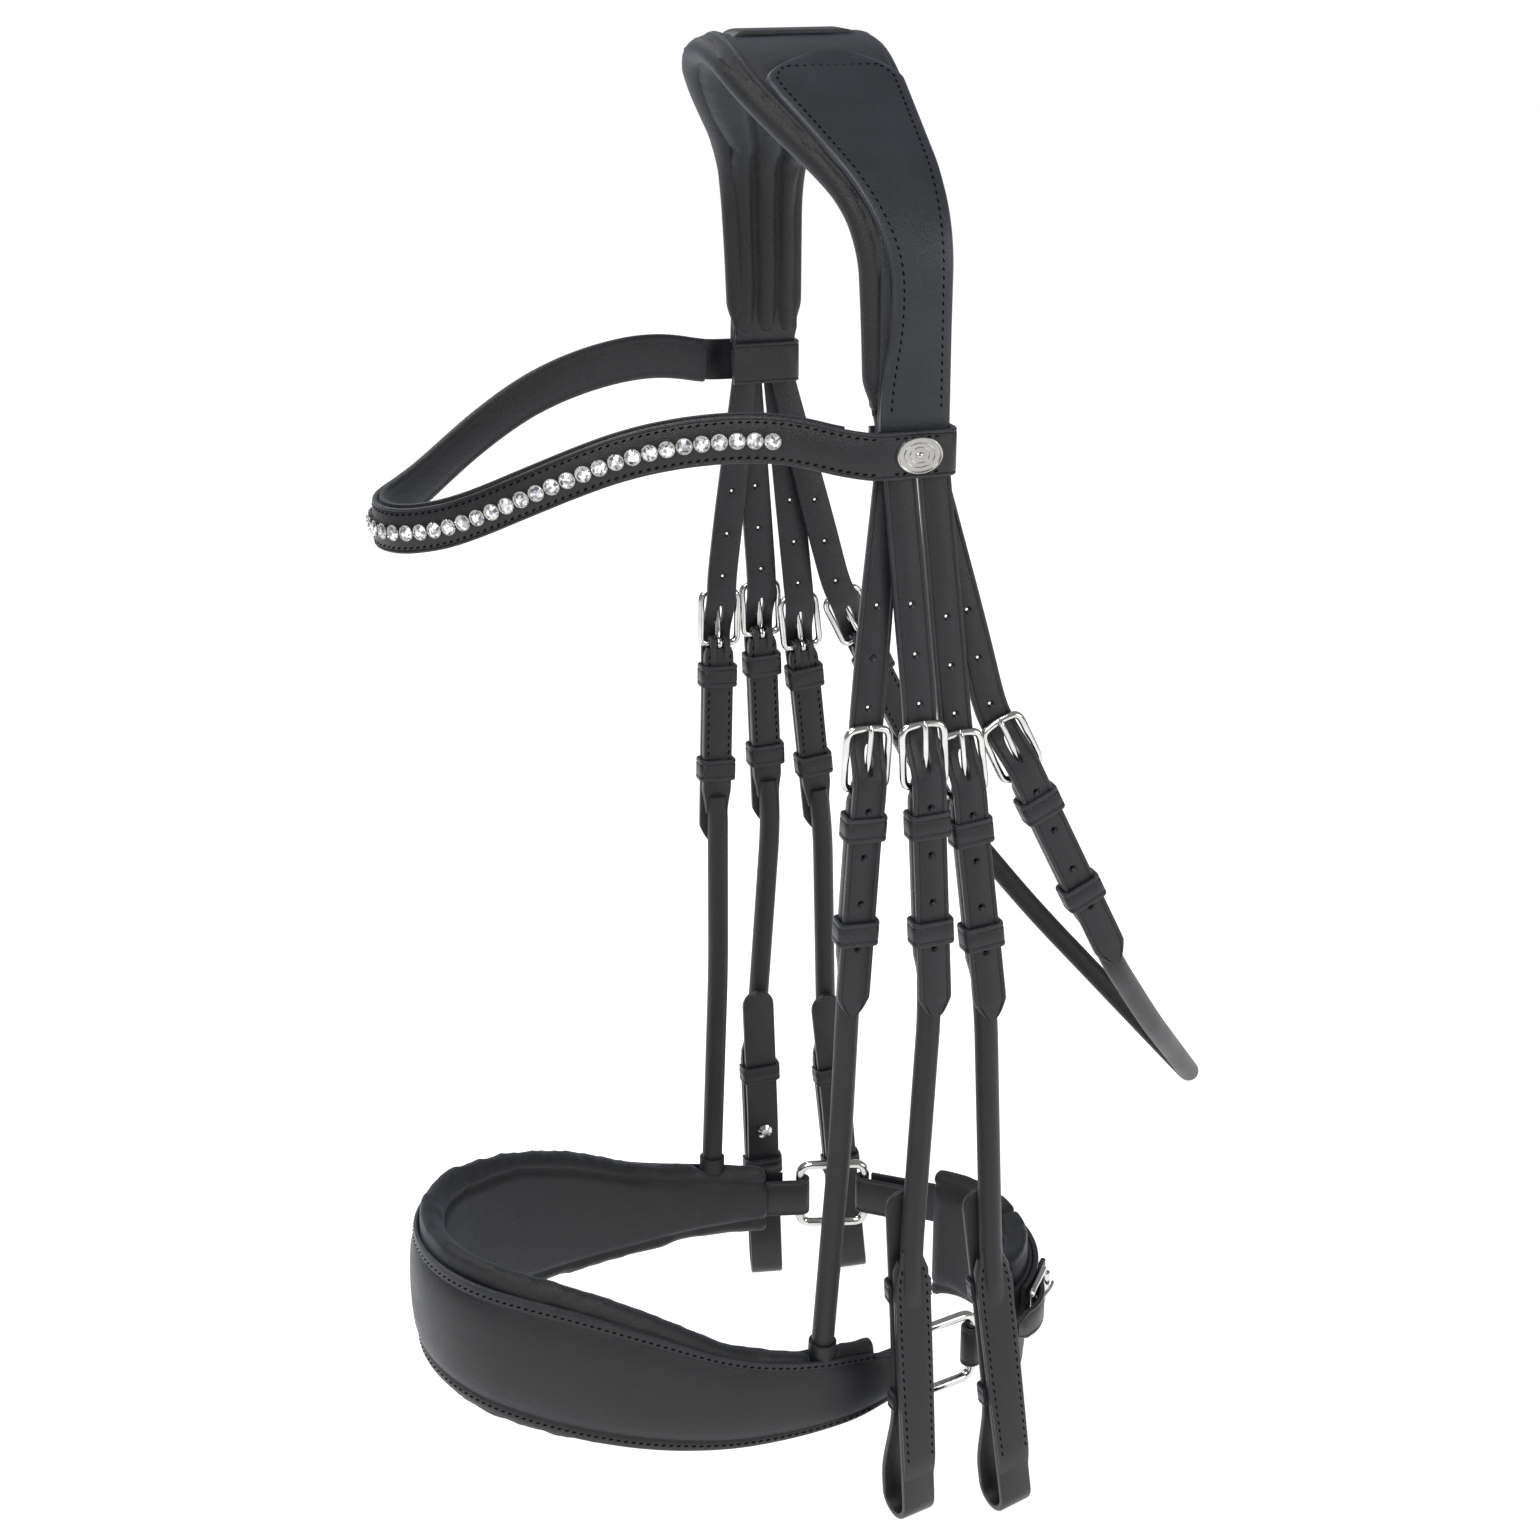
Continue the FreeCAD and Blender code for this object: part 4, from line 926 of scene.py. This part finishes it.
def crown():
    """Padding with its edge rolls, the smooth side panels, the poll loop and the inner straps."""
    body = "headpiece"

    def channels(spot, normal):
        front = blend_between(PAD_FRONT, spot.z)
        rear = blend_between(PAD_REAR, spot.z)
        wide = rear - front
        sideways = normal.x * math.copysign(1.0, spot.x) * ease(0, 30, abs(spot.x))
        inward = -(sideways + normal.z * ease(60, 0, abs(spot.x)))
        deep = 0.0
        for part in (0.33, 0.66):
            deep = deep + groove(spot.y - front - wide * part, 2.0, 1.7)
        deep = deep - 0.9 * abs(math.sin(math.pi * 3 * min(max((spot.y - front) / wide, 0), 1)))
        return deep * ease(0.2, 0.6, inward)

    puffed("crown_padding_lining", "crown_padding", "lining", 2.0, 1.6, channels)
    made = fresh()
    crown_roll(made, 4.6, 2.6, 4.6, 1.0, PAD_FRONT, 1, -113)
    crown_roll(made, 8.6, 7.0, 1.9, 1.2, PAD_FRONT, 1, -114)
    crown_roll(made, 5.4, 2.2, 4.0, 1.0, PAD_REAR, -1, -113)
    for sense in (1, -1):
        line = [spot for spot, out in arch_points(3.4, -110, 3.0) if spot.x * sense > 45 and spot.z < -88]
        line.sort(key=lambda spot: -spot.z)
        line = [Vector((spot.x, STRAP_MIDDLE, spot.z)) for spot in line]
        line += [Vector((83.4 * sense, STRAP_MIDDLE, -116.0)), Vector((83.6 * sense, STRAP_MIDDLE, -121.0))]
        sweep(made, strap_outline(25.2, 2.6, 0.0), along(line, (0, 1, 0)))
    finished("crown_edge_rolls", made, "lining", body)
    made = fresh()
    for sense in (1, -1):
        crown_panel(made, sense, body)
    finished("crown_side_panels", made, "smooth", body, "crown_panels")
    made = fresh()
    for sense in (1, -1):
        line = [spot for spot, out in arch_points(9.4, -124.8, 3.0) if spot.x * sense > 45 and spot.z < -46]
        line = [Vector((spot.x, STRAP_MIDDLE, spot.z)) for spot in line]
        sweep(made, strap_outline(25.1, 2.2, 0.0), along(line, (0, 1, 0)))
    finished("headpiece_inner_straps", made, "bridle", body, "headstall_tabs")
    made = fresh()
    line = rounded([(0, -25.5, 7.0), (0, -22.0, 10.3), (0, 20.0, 10.3), (0, 23.0, 7.0)], 3.0, 3.0)
    places = along(line, (1, 0, 0))
    sweep(made, strap_outline(15.0, 2.0, 1.9), places)
    for across in (-5.9, 5.9):
        sew(body, places, across, 1.05, 0.05, 0.95)
    finished("poll_strap_loop", made, "bridle", body, "poll_loop")


def crown_panel(made, sense, body):
    """Smooth leather panel on one side, bent over the crown, with a sewn edge."""
    height = 12.1
    walk = [(spot, out) for spot, out in arch_points(height, -118.6, 2.0) if spot.x * sense > 0]
    walk.sort(key=lambda item: -item[0].z)
    begin = 26.5
    rows_down = []
    for spot, out in walk:
        if abs(spot.x) < begin:
            continue
        front = around(PANEL_FRONT, spot.z, 4.0)
        rear = blend_between(PANEL_REAR, spot.z)
        top = ease(begin, begin + 13, abs(spot.x)) if spot.z > -30 else 1.0
        middle = 6.0
        front = middle + (front - middle) * (0.12 + 0.88 * math.sqrt(top))
        rear = middle + (rear - middle) * (0.12 + 0.88 * math.sqrt(top))
        rows_down.append((spot, out, front, rear))
    places = []
    last = len(rows_down) - 1
    for index, (spot, out, front, rear) in enumerate(rows_down):
        before = rows_down[max(index - 1, 0)][0]
        after = rows_down[min(index + 1, last)][0]
        ahead = (after - before).normalized()
        spot = Vector((spot.x, (front + rear) / 2, spot.z))
        across = Vector((0, sense * (rear - front), 0))
        places.append(place_at(spot, across, out, ahead))
    outline = []
    for across, rise, worn in ((0.5, -0.9, 0.7), (0.5, 0.5, 1.0), (0.488, 0.9, 0.9), (0.465, 1.05, 0.4),
                               (0.4, 1.25, 0.0), (0.22, 1.4, 0.0), (0.0, 1.45, 0.0)):
        outline.append((across, rise, worn))
    outline = [(0.488, -1.3, 0.3)] + outline
    mirrored = [(-across, rise, worn) for across, rise, worn in reversed(outline[:-1])]
    sweep(made, outline + mirrored, places)
    for edge in (-1, 1):
        spots = []
        for place in places[3:-3]:
            wide = place.col[0].to_3d().length
            spot = place @ Vector((edge * (0.5 - 3.6 / wide), 1.22, 0))
            spots.append((spot, place.col[1].to_3d().normalized()))
        stitch_line(body, spots, 2.9, 1.9)
    turn = places[3]
    wide = turn.col[0].to_3d().length
    spots = []
    for step in range(-10, 11):
        part = step / 10 * (0.5 - 3.6 / wide)
        spots.append((turn @ Vector((part, 1.25, 0)), turn.col[1].to_3d().normalized()))
    stitch_line(body, spots, 2.9, 1.9)


# ------------------------------------------------------------------ browband

BROW = [(28, 44), (170, 26), (88, 0), (16, 20), (4, 0)]
WAVE = [(-190, -159.5), (-168, -159.3), (-157, -158.2), (-146, -156.0), (-138, -153.0), (-130, -149.0),
        (-120, -143.2), (-110, -137.8), (-100, -132.9), (-92, -129.0), (-80, -124.6), (-68, -121.5),
        (-55, -119.3), (-44, -118.4), (-36, -118.2), (-26, -119.2), (-16, -121.4), (-6, -124.5), (40, -124.5)]


def smooth_wave(back):
    """Height of the browband's middle line, eased over its corners."""
    total = 0.0
    for step in (-8, -4, 0, 4, 8):
        total = total + blend_between(WAVE, back + step)
    return total / 5


def brow_places(offset, stop, gap=4.0, rise=0.0, size=1.0):
    """Upright placements along the browband at an offset outside its plan."""
    places = []
    for spot, angle in both_ways(plan((0, -157), 0, BROW, gap)):
        out = Vector((math.sin(angle), -math.cos(angle), 0))
        ahead = Vector((math.cos(angle), math.sin(angle), 0))
        place = Vector((spot.x, spot.y, 0)) + out * offset
        if place.y > stop:
            continue
        place.z = smooth_wave(place.y) + rise
        places.append(place_at(place, Vector((0, 0, size)), out, ahead))
    return places


def browband():
    """Shaped leather whose ends fold into loops, its lining, stones in cups, and end badges."""
    body = "headpiece"
    made = fresh()
    places = brow_places(1.2, 3.0)
    ends = []
    for sense in (1, -1):
        loop = [(93.2, 6.0, BROW_LEVEL), (92.8, 12.0, BROW_LEVEL), (92.8, 29.8, BROW_LEVEL)]
        loop += [(80.8, 29.8, BROW_LEVEL), (80.8, 2.0, BROW_LEVEL)]
        line = rounded(loop, [3.0, 4.0, 4.0], 3.5)
        line = [Vector((spot.x * sense, spot.y, spot.z)) for spot in line]
        if sense < 0:
            line.reverse()
        ends.append(along(line, (0, 0, 1)))
    whole = ends[1] + places + ends[0]
    sweep(made, strap_outline(16.6, 2.2, 1.3, 0.6), whole)
    for across in (-6.2, 6.2):
        sew(body, places, across, 1.12, 0.0, 1.0, 2.9, 1.9)
        sew(body, ends[0][: len(ends[0]) // 3], across, 1.12, 0.0, 1.0, 2.9, 1.9)
    finished("browband_leather", made, "bridle", body, "browband")
    made = fresh()
    outline = [(8.6, 1.6, 0.0), (8.9, 0.6, 0.0), (8.4, -0.6, 0.0), (7.0, -1.3, 0.0), (6.2, -1.15, 0.0)]
    outline += [(5.2, -1.6, 0.0), (2.6, -2.1, 0.0), (0.0, -2.2, 0.0)]
    outline += [(-across, out, worn) for across, out, worn in reversed(outline[:-1])]
    outline += [(-6.0, 1.9, 0.0), (6.0, 1.9, 0.0)]
    sweep(made, outline, brow_places(-2.0, -6.0))
    lining = finished("browband_padded_lining", made, "lining", body, "browband_lining")
    stones_and_badges(body)


def stones_and_badges(body):
    """Cut stones in clawed cups along the front, and a plain ringed badge at each end."""
    walk = brow_places(3.0, -20.0, 1.0)
    middle = min(range(len(walk)), key=lambda index: abs(walk[index].translation.x))
    stones = fresh()
    cups = fresh()
    for sense in (1, -1):
        run = walk[middle:] if sense > 0 else walk[middle::-1]
        need = 0.0
        done = 0.0
        count = 0
        for here, there in zip(run, run[1:]):
            gap = (there.translation - here.translation).length
            while need <= done + gap and count <= 27:
                part = (need - done) / gap
                if count or sense > 0:
                    set_stone(stones, cups, here.lerp(there, part), count * 3 + 7 * sense)
                count = count + 1
                need = need + 6.1
            done = done + gap
    finished("browband_stones", stones, "stone", body, "crystals", angle=0.05)
    for sense in (1, -1):
        turn = Matrix.Rotation(math.pi / 2 * sense, 4, "Y")
        base = Matrix.Translation((sense * 93.9, 15.6, BROW_LEVEL)) @ turn
        oval = base @ Matrix.Diagonal((0.76, 1.0, 1.0, 1.0))
        badge_rings(cups, oval)
    finished("browband_cups_and_badges", cups, "silver", body, "browband_settings", angle=0.5)


def badge_rings(made, oval):
    """Oval badge: domed plate, raised border, and three plain rings with a centre boss."""
    bmesh.ops.create_cone(made, cap_ends=True, segments=40, radius1=8.6, radius2=8.2, depth=0.8,
                          matrix=oval @ Matrix.Translation((0, 0, 0.4)))
    for radius, wide in ((8.0, 0.5), (5.6, 0.32), (3.6, 0.28)):
        circle = [Vector((math.cos(turn) * radius, math.sin(turn) * radius, 0.85))
                  for turn in [2 * math.pi * index / 40 for index in range(41)]]
        sweep(made, round_outline(wide, 1.0, 0.0, 8), moved(along(circle, (0, 0, 1)), oval))
    bmesh.ops.create_uvsphere(made, u_segments=20, v_segments=10, radius=1.6,
                              matrix=oval @ Matrix.Translation((0, 0, 0.8)) @ Matrix.Diagonal((1, 1, 0.45, 1)))


def set_stone(stones, cups, place, spin):
    """One brilliant stone, table up, held by four claws in a cup."""
    out = place.col[1].to_3d().normalized()
    side = place.col[2].to_3d().normalized()
    base = place_at(place.translation, side, out.cross(side), out) @ Matrix.Rotation(spin, 4, "Z")
    for made, sides, low, high, tall, rise in ((stones, 9, 2.5, 1.35, 0.95, 1.35),
                                               (stones, 9, 0.5, 2.5, 0.9, 0.43),
                                               (cups, 14, 2.2, 2.95, 1.5, 0.1)):
        bmesh.ops.create_cone(made, cap_ends=True, segments=sides, radius1=low, radius2=high, depth=tall,
                              matrix=base @ Matrix.Translation((0, 0, rise)))
    for claw in range(4):
        turn = Matrix.Rotation(math.pi / 2 * claw + 0.4, 4, "Z") @ Matrix.Translation((2.55, 0, 1.0))
        bmesh.ops.create_icosphere(cups, subdivisions=1, radius=0.55,
                                   matrix=base @ turn @ Matrix.Diagonal((0.8, 0.8, 1.1, 1.0)))


# ------------------------------------------------------------------ noseband

NOSE = [(58, 55), (190, 33), (130, 16), (24, 0)]
NOSE_TOP = [(-175, -454), (-150, -456), (-128, -459), (-105, -463), (-78, -472), (-50, -484),
            (-35, -488), (-20, -491), (10, -495), (24, -500), (34, -500)]
NOSE_LOW = [(-175, -504), (-150, -511), (-130, -516), (-110, -520), (-80, -524), (-50, -525.5), (10, -523),
            (24, -518), (34, -518)]
PAD_TOP = [(-175, -446), (-140, -449.5), (-105, -455), (-78, -466), (-50, -479), (-35, -483.5),
           (-20, -487), (14, -492)]
PAD_LOW = [(-175, -510), (-140, -519), (-110, -525), (-80, -528), (-50, -529), (14, -526)]
FRONT_BAR = Vector((72.13, 29.25))
REAR_BAR = Vector((64.87, 58.35))


def noseband(wholes, folded):
    """Wide padded noseband with its outer leather, hangers and square rings."""
    body = "noseband"
    made = fresh()
    outline = [(0.5, -1.1, 0.2), (0.508, -0.3, 0.7), (0.5, 0.75, 1.0), (0.48, 1.15, 0.6), (0.425, 1.2, 0.0)]
    outline += [(0.405, 0.75, 0.0), (0.375, 1.6, 0.0), (0.3, 2.7, 0.0), (0.17, 3.35, 0.0), (0.0, 3.55, 0.0)]
    outline += [(-across, out, worn) for across, out, worn in reversed(outline[:-1])]
    walk = both_ways(plan((0, -157), 0, NOSE, 4.0))
    places = []
    for spot, angle in walk:
        out = Vector((math.sin(angle), -math.cos(angle), 0))
        ahead = Vector((math.cos(angle), math.sin(angle), 0))
        high = around(NOSE_TOP, spot.y)
        low = around(NOSE_LOW, spot.y)
        place = Vector((spot.x, spot.y, (high + low) / 2)) + out * 1.3
        swell = 1.0 - 0.42 * ease(-60, -8, spot.y)
        places.append(place_at(place, Vector((0, 0, high - low)), out * swell, ahead))
    main = [place for place in places if place.translation.y < 25]
    ends = []
    for sense in (1, -1):
        centre = FRONT_BAR
        heading = math.radians(104)
        away = Vector((math.sin(heading), -math.cos(heading)))
        line = [centre + away * 3.3]
        start = math.degrees(math.atan2(away.y, away.x))
        line += [point.to_2d() for point in arc(centre, 3.3, start + 20, start + 180, 0.0, 8)]
        inner = centre - away * 3.3
        back = Vector((-math.cos(heading), -math.sin(heading)))
        line += [inner + back * step for step in (5.0, 11.0, 18.0)]
        loop = [Vector((point.x * sense, point.y)) for point in line]
        ends.append((loop, sense))
    for loop, sense in ends:
        line = [Vector((point.x, point.y, NOSE_LEVEL)) for point in loop]
        if sense < 0:
            line.reverse()
        sweep(made, strap_outline(17.6, 2.2, 1.6), along(line, (0, 0, 1)))
    sweep(made, outline, main)
    for across in (0.448, -0.448):
        sew(body, main, across, 1.28, 0.02, 0.98, 3.0, 2.0)
    finished("noseband_outer_leather", made, "bridle", body, "noseband_shell")

    def channels(spot, normal):
        high = blend_between(PAD_TOP, spot.y)
        low = blend_between(PAD_LOW, spot.y)
        sideways = normal.x * math.copysign(1.0, spot.x) * ease(0, 40, abs(spot.x))
        inward = -(sideways - normal.y * ease(60, 0, abs(spot.x)))
        part = min(max((spot.z - low) / (high - low), 0.0), 1.0)
        deep = groove(spot.z - high + 8.0, 1.8, 1.5) + groove(spot.z - low - 8.0, 1.8, 1.5)
        deep = deep - 1.2 * math.sin(math.pi * part)
        return deep * ease(0.1, 0.5, inward)

    puffed("noseband_padded_lining", "noseband_padding", "lining", 2.2, 1.8, channels)
    made = folded
    for whole, sense in zip(wholes, (1, -1)):
        corners = [(-ROLL_DEPTH, 0, -90), (-ROLL_DEPTH, 1.5 * sense, -170), (-ROLL_DEPTH, 0, -274)]
        rolled_strap(made, whole, corners, 14, ROLL_RADIUS, hanger_taper)
        sleeve = [Vector((-ROLL_DEPTH, 0.1 * sense, up)) for up in (-262, -265, -269)]
        sweep(made, round_outline(5.6, 1.0, 0.0, 20), moved(along(sleeve, (0, 1, 0)), whole))
    finished("noseband_rolled_hangers", made, "rolled", body, "noseband_hangers")
    made = fresh()
    for sense in (1, -1):
        turn = Matrix.Rotation(math.radians(14 * sense), 4, "Z")
        whole = Matrix.Translation((68.5 * sense, 43.8, NOSE_LEVEL + 15)) @ turn
        wire_ring(made, whole)
    finished("noseband_square_rings", made, "steel", body, "noseband_rings")


def hanger_taper(spot):
    """Hanger leather rounds out of the flat part."""
    top = ease(-88, -100, spot.z)
    return 0.85 + 0.15 * top, 0.55 + 0.45 * top


def wire_ring(made, whole):
    """Square ring of round wire with soft corners."""
    corners = [(0, 0.5, -30), (0, -15, -30), (0, -15, 0), (0, 15, 0), (0, 15, -30), (0, 0, -30)]
    line = rounded(corners, 5.5, 4.0)
    sweep(made, round_outline(2.0, 1.0, 0.0, 16), moved(along(line, (1, 0, 0)), whole))


def chin():
    """Chin strap between the rings, its padded piece, and the roller buckle."""
    body = "noseband"
    made = fresh()
    walk = both_ways(plan((0, 106), 0, [(58, -52), (29.0, 0)], 4.0))
    line = []
    for spot, angle in walk:
        out = Vector((-math.sin(angle), math.cos(angle)))
        point = spot + out * 1.3
        line.append(Vector((point.x, point.y, NOSE_LEVEL)))
    sweep(made, strap_outline(19.0, 2.3, 1.8), along(line, (0, 0, -1)))
    for sense in (1, -1):
        bend = [Vector((point.x * sense, point.y, NOSE_LEVEL))
                for point in arc(REAR_BAR, 3.3, 40, -150, 0.0, 10)]
        heading = Vector((-0.616 * sense, 0.788, 0))
        bend += [bend[-1] + heading * step for step in (5.0, 12.0, 20.0)]
        sweep(made, strap_outline(17.6, 2.0, 1.6), along(bend, (0, 0, -sense)))
    upper = []
    for spot, angle in plan((0, 106), 0, [(58, -47)], 4.0):
        out = Vector((-math.sin(angle), math.cos(angle)))
        upper.append((spot + out * 3.95, angle))
    line = [Vector((spot.x, spot.y, NOSE_LEVEL)) for spot, angle in both_ways(upper)]
    sweep(made, strap_outline(19.0, 2.4, 1.8), along(line, (0, 0, -1)))
    whole = station("chin_tongue_hinge", "chin_roller_spin")
    corners = [(-2.9, 0, 9.0), (-3.0, 0, 3.0), (3.9, 0, -18.0), (3.8, 0, -27.0), (-1.5, 0, -40.0)]
    line = rounded(corners, [6.0, 5.0, 4.0], 3.0)
    places = moved(along(line, (0, 1, 0), lambda spot: (1.0 - 0.6 * ease(-34, -41, spot.z), 1.0)), whole)
    sweep(made, strap_outline(13.0, 2.2, 1.6), places)
    for lug in (-3.05, 3.05):
        turn = [Vector((math.cos(swing) * 2.5, lug, -FRAME_TALL + math.sin(swing) * 2.5))
                for swing in [math.radians(angle) for angle in range(250, -71, -20)]]
        sweep(made, strap_outline(2.7, 1.9, 0.0), moved(along(turn, (0, 1, 0)), whole))
    finished("chin_strap_leather", made, "bridle", body, "chin_strap")
    made = fresh()
    wire(made, whole, 8.05, FRAME_TALL, 2.6, BAR, 0.0)
    finished("chin_buckle_frame", made, "steel", body, "chin_buckle")
    made = fresh()
    tongue(made, whole, 2.4)
    finished("chin_buckle_tongue", made, "steel", "chin_tongue", "chin_prong")
    made = fresh()
    barrel = [Vector((0, across, 0)) for across in (-5.8, -5.5, -4.8, 4.8, 5.5, 5.8)]
    sizes = {5.8: 0.8, 5.5: 0.97, 4.8: 1.0}
    places = along(barrel, (1, 0, 0), lambda spot: (sizes[round(abs(spot.y), 1)],) * 2)
    sweep(made, round_outline(2.4, 1.0, 0.25, 24), moved(places, whole))
    finished("chin_buckle_roller", made, "steel", "chin_roller_body", "chin_roller")

    def seam(spot, normal):
        edge = min(abs(spot.z + 494), abs(spot.z + 545))
        deep = groove(edge, 0.9, 1.3) + groove(abs(spot.x), 1.6, 1.6)
        return deep

    puffed("chin_padded_piece", "chin_pad", "lining", 2.0, 2.0, seam)


def throatlash(wholes, folded):
    """Rolled throatlash that hangs in a deep V between its buckles."""
    ends = [whole @ Vector((-ROLL_DEPTH, 0, -SLAB_END + 8)) for whole in wholes]
    below = [whole @ Vector((-ROLL_DEPTH, 0, -SLAB_END - 4)) for whole in wholes]
    corners = [ends[0], below[0], (86, 104, -333), (60, 134.5, -374), (0, 188, -437)]
    corners += [(-60, 134.5, -374), (-86, 104, -333), below[1], ends[1]]
    line = rounded(corners, [5, 12, 20, 11, 20, 12, 5], 5.0)
    places = []
    last = len(line) - 1
    for index, spot in enumerate(line):
        ahead = (line[min(index + 1, last)] - line[max(index - 1, 0)]).normalized()
        out = Vector((spot.x, 0.3 * (spot.y - 60), -30)).normalized()
        across = out.cross(ahead).normalized()
        places.append(place_at(spot, across, ahead.cross(across), ahead))
    sweep(folded, round_outline(ROLL_RADIUS, 1.0, 0.35, 22), places)
    finished("throatlash_rolled_strap", folded, "rolled", "throatlash", "throatlash_roll")


# ------------------------------------------------------------------ studio


def studio():
    """Pale floor, soft lights and the camera."""
    scene = bpy.context.scene
    low = cad_box[0][2] - 0.001
    made = bmesh.new()
    bmesh.ops.create_grid(made, x_segments=1, y_segments=1, size=6.0, matrix=Matrix.Translation((0, 0, low)))
    mesh = bpy.data.meshes.new("studio_floor")
    made.to_mesh(mesh)
    made.free()
    floor = bpy.data.objects.new("studio_floor", mesh)
    scene.collection.objects.link(floor)
    pale = bpy.data.materials.new("pale_floor")
    pale.use_nodes = True
    shader = pale.node_tree.nodes["Principled BSDF"]
    shader.inputs["Base Color"].default_value = (0.5, 0.5, 0.5, 1.0)
    shader.inputs["Emission Color"].default_value = (1.0, 1.0, 1.0, 1.0)
    shader.inputs["Emission Strength"].default_value = 0.85
    shader.inputs["Roughness"].default_value = 0.9
    shader.inputs["Specular IOR Level"].default_value = 0.1
    mesh.materials.append(pale)
    world = bpy.data.worlds.new("studio_light")
    world.use_nodes = True
    nodes = world.node_tree.nodes
    nodes["Background"].inputs["Color"].default_value = (1.0, 1.0, 1.0, 1.0)
    rays = nodes.new("ShaderNodeLightPath")
    level = nodes.new("ShaderNodeMapRange")
    level.inputs["To Min"].default_value = 0.3
    level.inputs["To Max"].default_value = 1.0
    world.node_tree.links.new(rays.outputs["Is Camera Ray"], level.inputs["Value"])
    world.node_tree.links.new(level.outputs["Result"], nodes["Background"].inputs["Strength"])
    scene.world = world
    scene.view_settings.view_transform = "Standard"
    middle = Vector((0.0, 0.02, -0.29))
    for name, spot, power, size in (
        ("key", (1.3, -0.9, 1.1), 26.0, 1.1),
        ("side", (1.5, 1.3, 0.3), 12.0, 0.9),
        ("back", (-1.4, -0.6, 1.2), 16.0, 1.2),
        ("top", (0.5, -0.5, 1.7), 14.0, 0.8),
    ):
        lamp = bpy.data.lights.new(name, "AREA")
        lamp.energy = power
        lamp.shape = "DISK"
        lamp.size = size
        holder = bpy.data.objects.new(name, lamp)
        holder.location = spot
        holder.rotation_euler = (middle - Vector(spot)).to_track_quat("-Z", "Y").to_euler()
        scene.collection.objects.link(holder)
    lens = bpy.data.cameras.new("camera")
    lens.sensor_width = 36.0
    lens.lens = 18.0 / math.tan(math.radians(17.5))
    lens.clip_start = 0.01
    camera = bpy.data.objects.new("camera", lens)
    camera.location = Vector((865.4, -285.2, 66.1)) * MM
    sight = Vector((-0.8930, 0.2857, -0.3475))
    camera.rotation_euler = sight.to_track_quat("-Z", "Y").to_euler()
    scene.collection.objects.link(camera)
    scene.camera = camera


studio()
crown()
browband()
for side_name, side_sense in SIDES:
    cheek(side_name + "_front", side_sense, 9.2, -11.0, 12.0)
    cheek(side_name + "_rear", side_sense, 21.9, -8.5, 12.0)
nose_wholes, nose_folded = crossing("noseband", 8.9, 10.0)
noseband(nose_wholes, nose_folded)
chin()
throat_wholes, throat_folded = crossing("throatlash", 20.8, 10.0)
throatlash(throat_wholes, throat_folded)
for sewn_body, sewn_rows in rows.items():
    finished(sewn_body + "_stitching", sewn_rows, "thread", sewn_body, angle=3.2)
for cheek_name in ("left_front", "left_rear", "right_front", "right_rear"):
    stud = frame["nodes"][cheek_name + "_hook_stud"]
    stud.data.materials.clear()
    stud.data.materials.append(FINISHES["steel"][0])
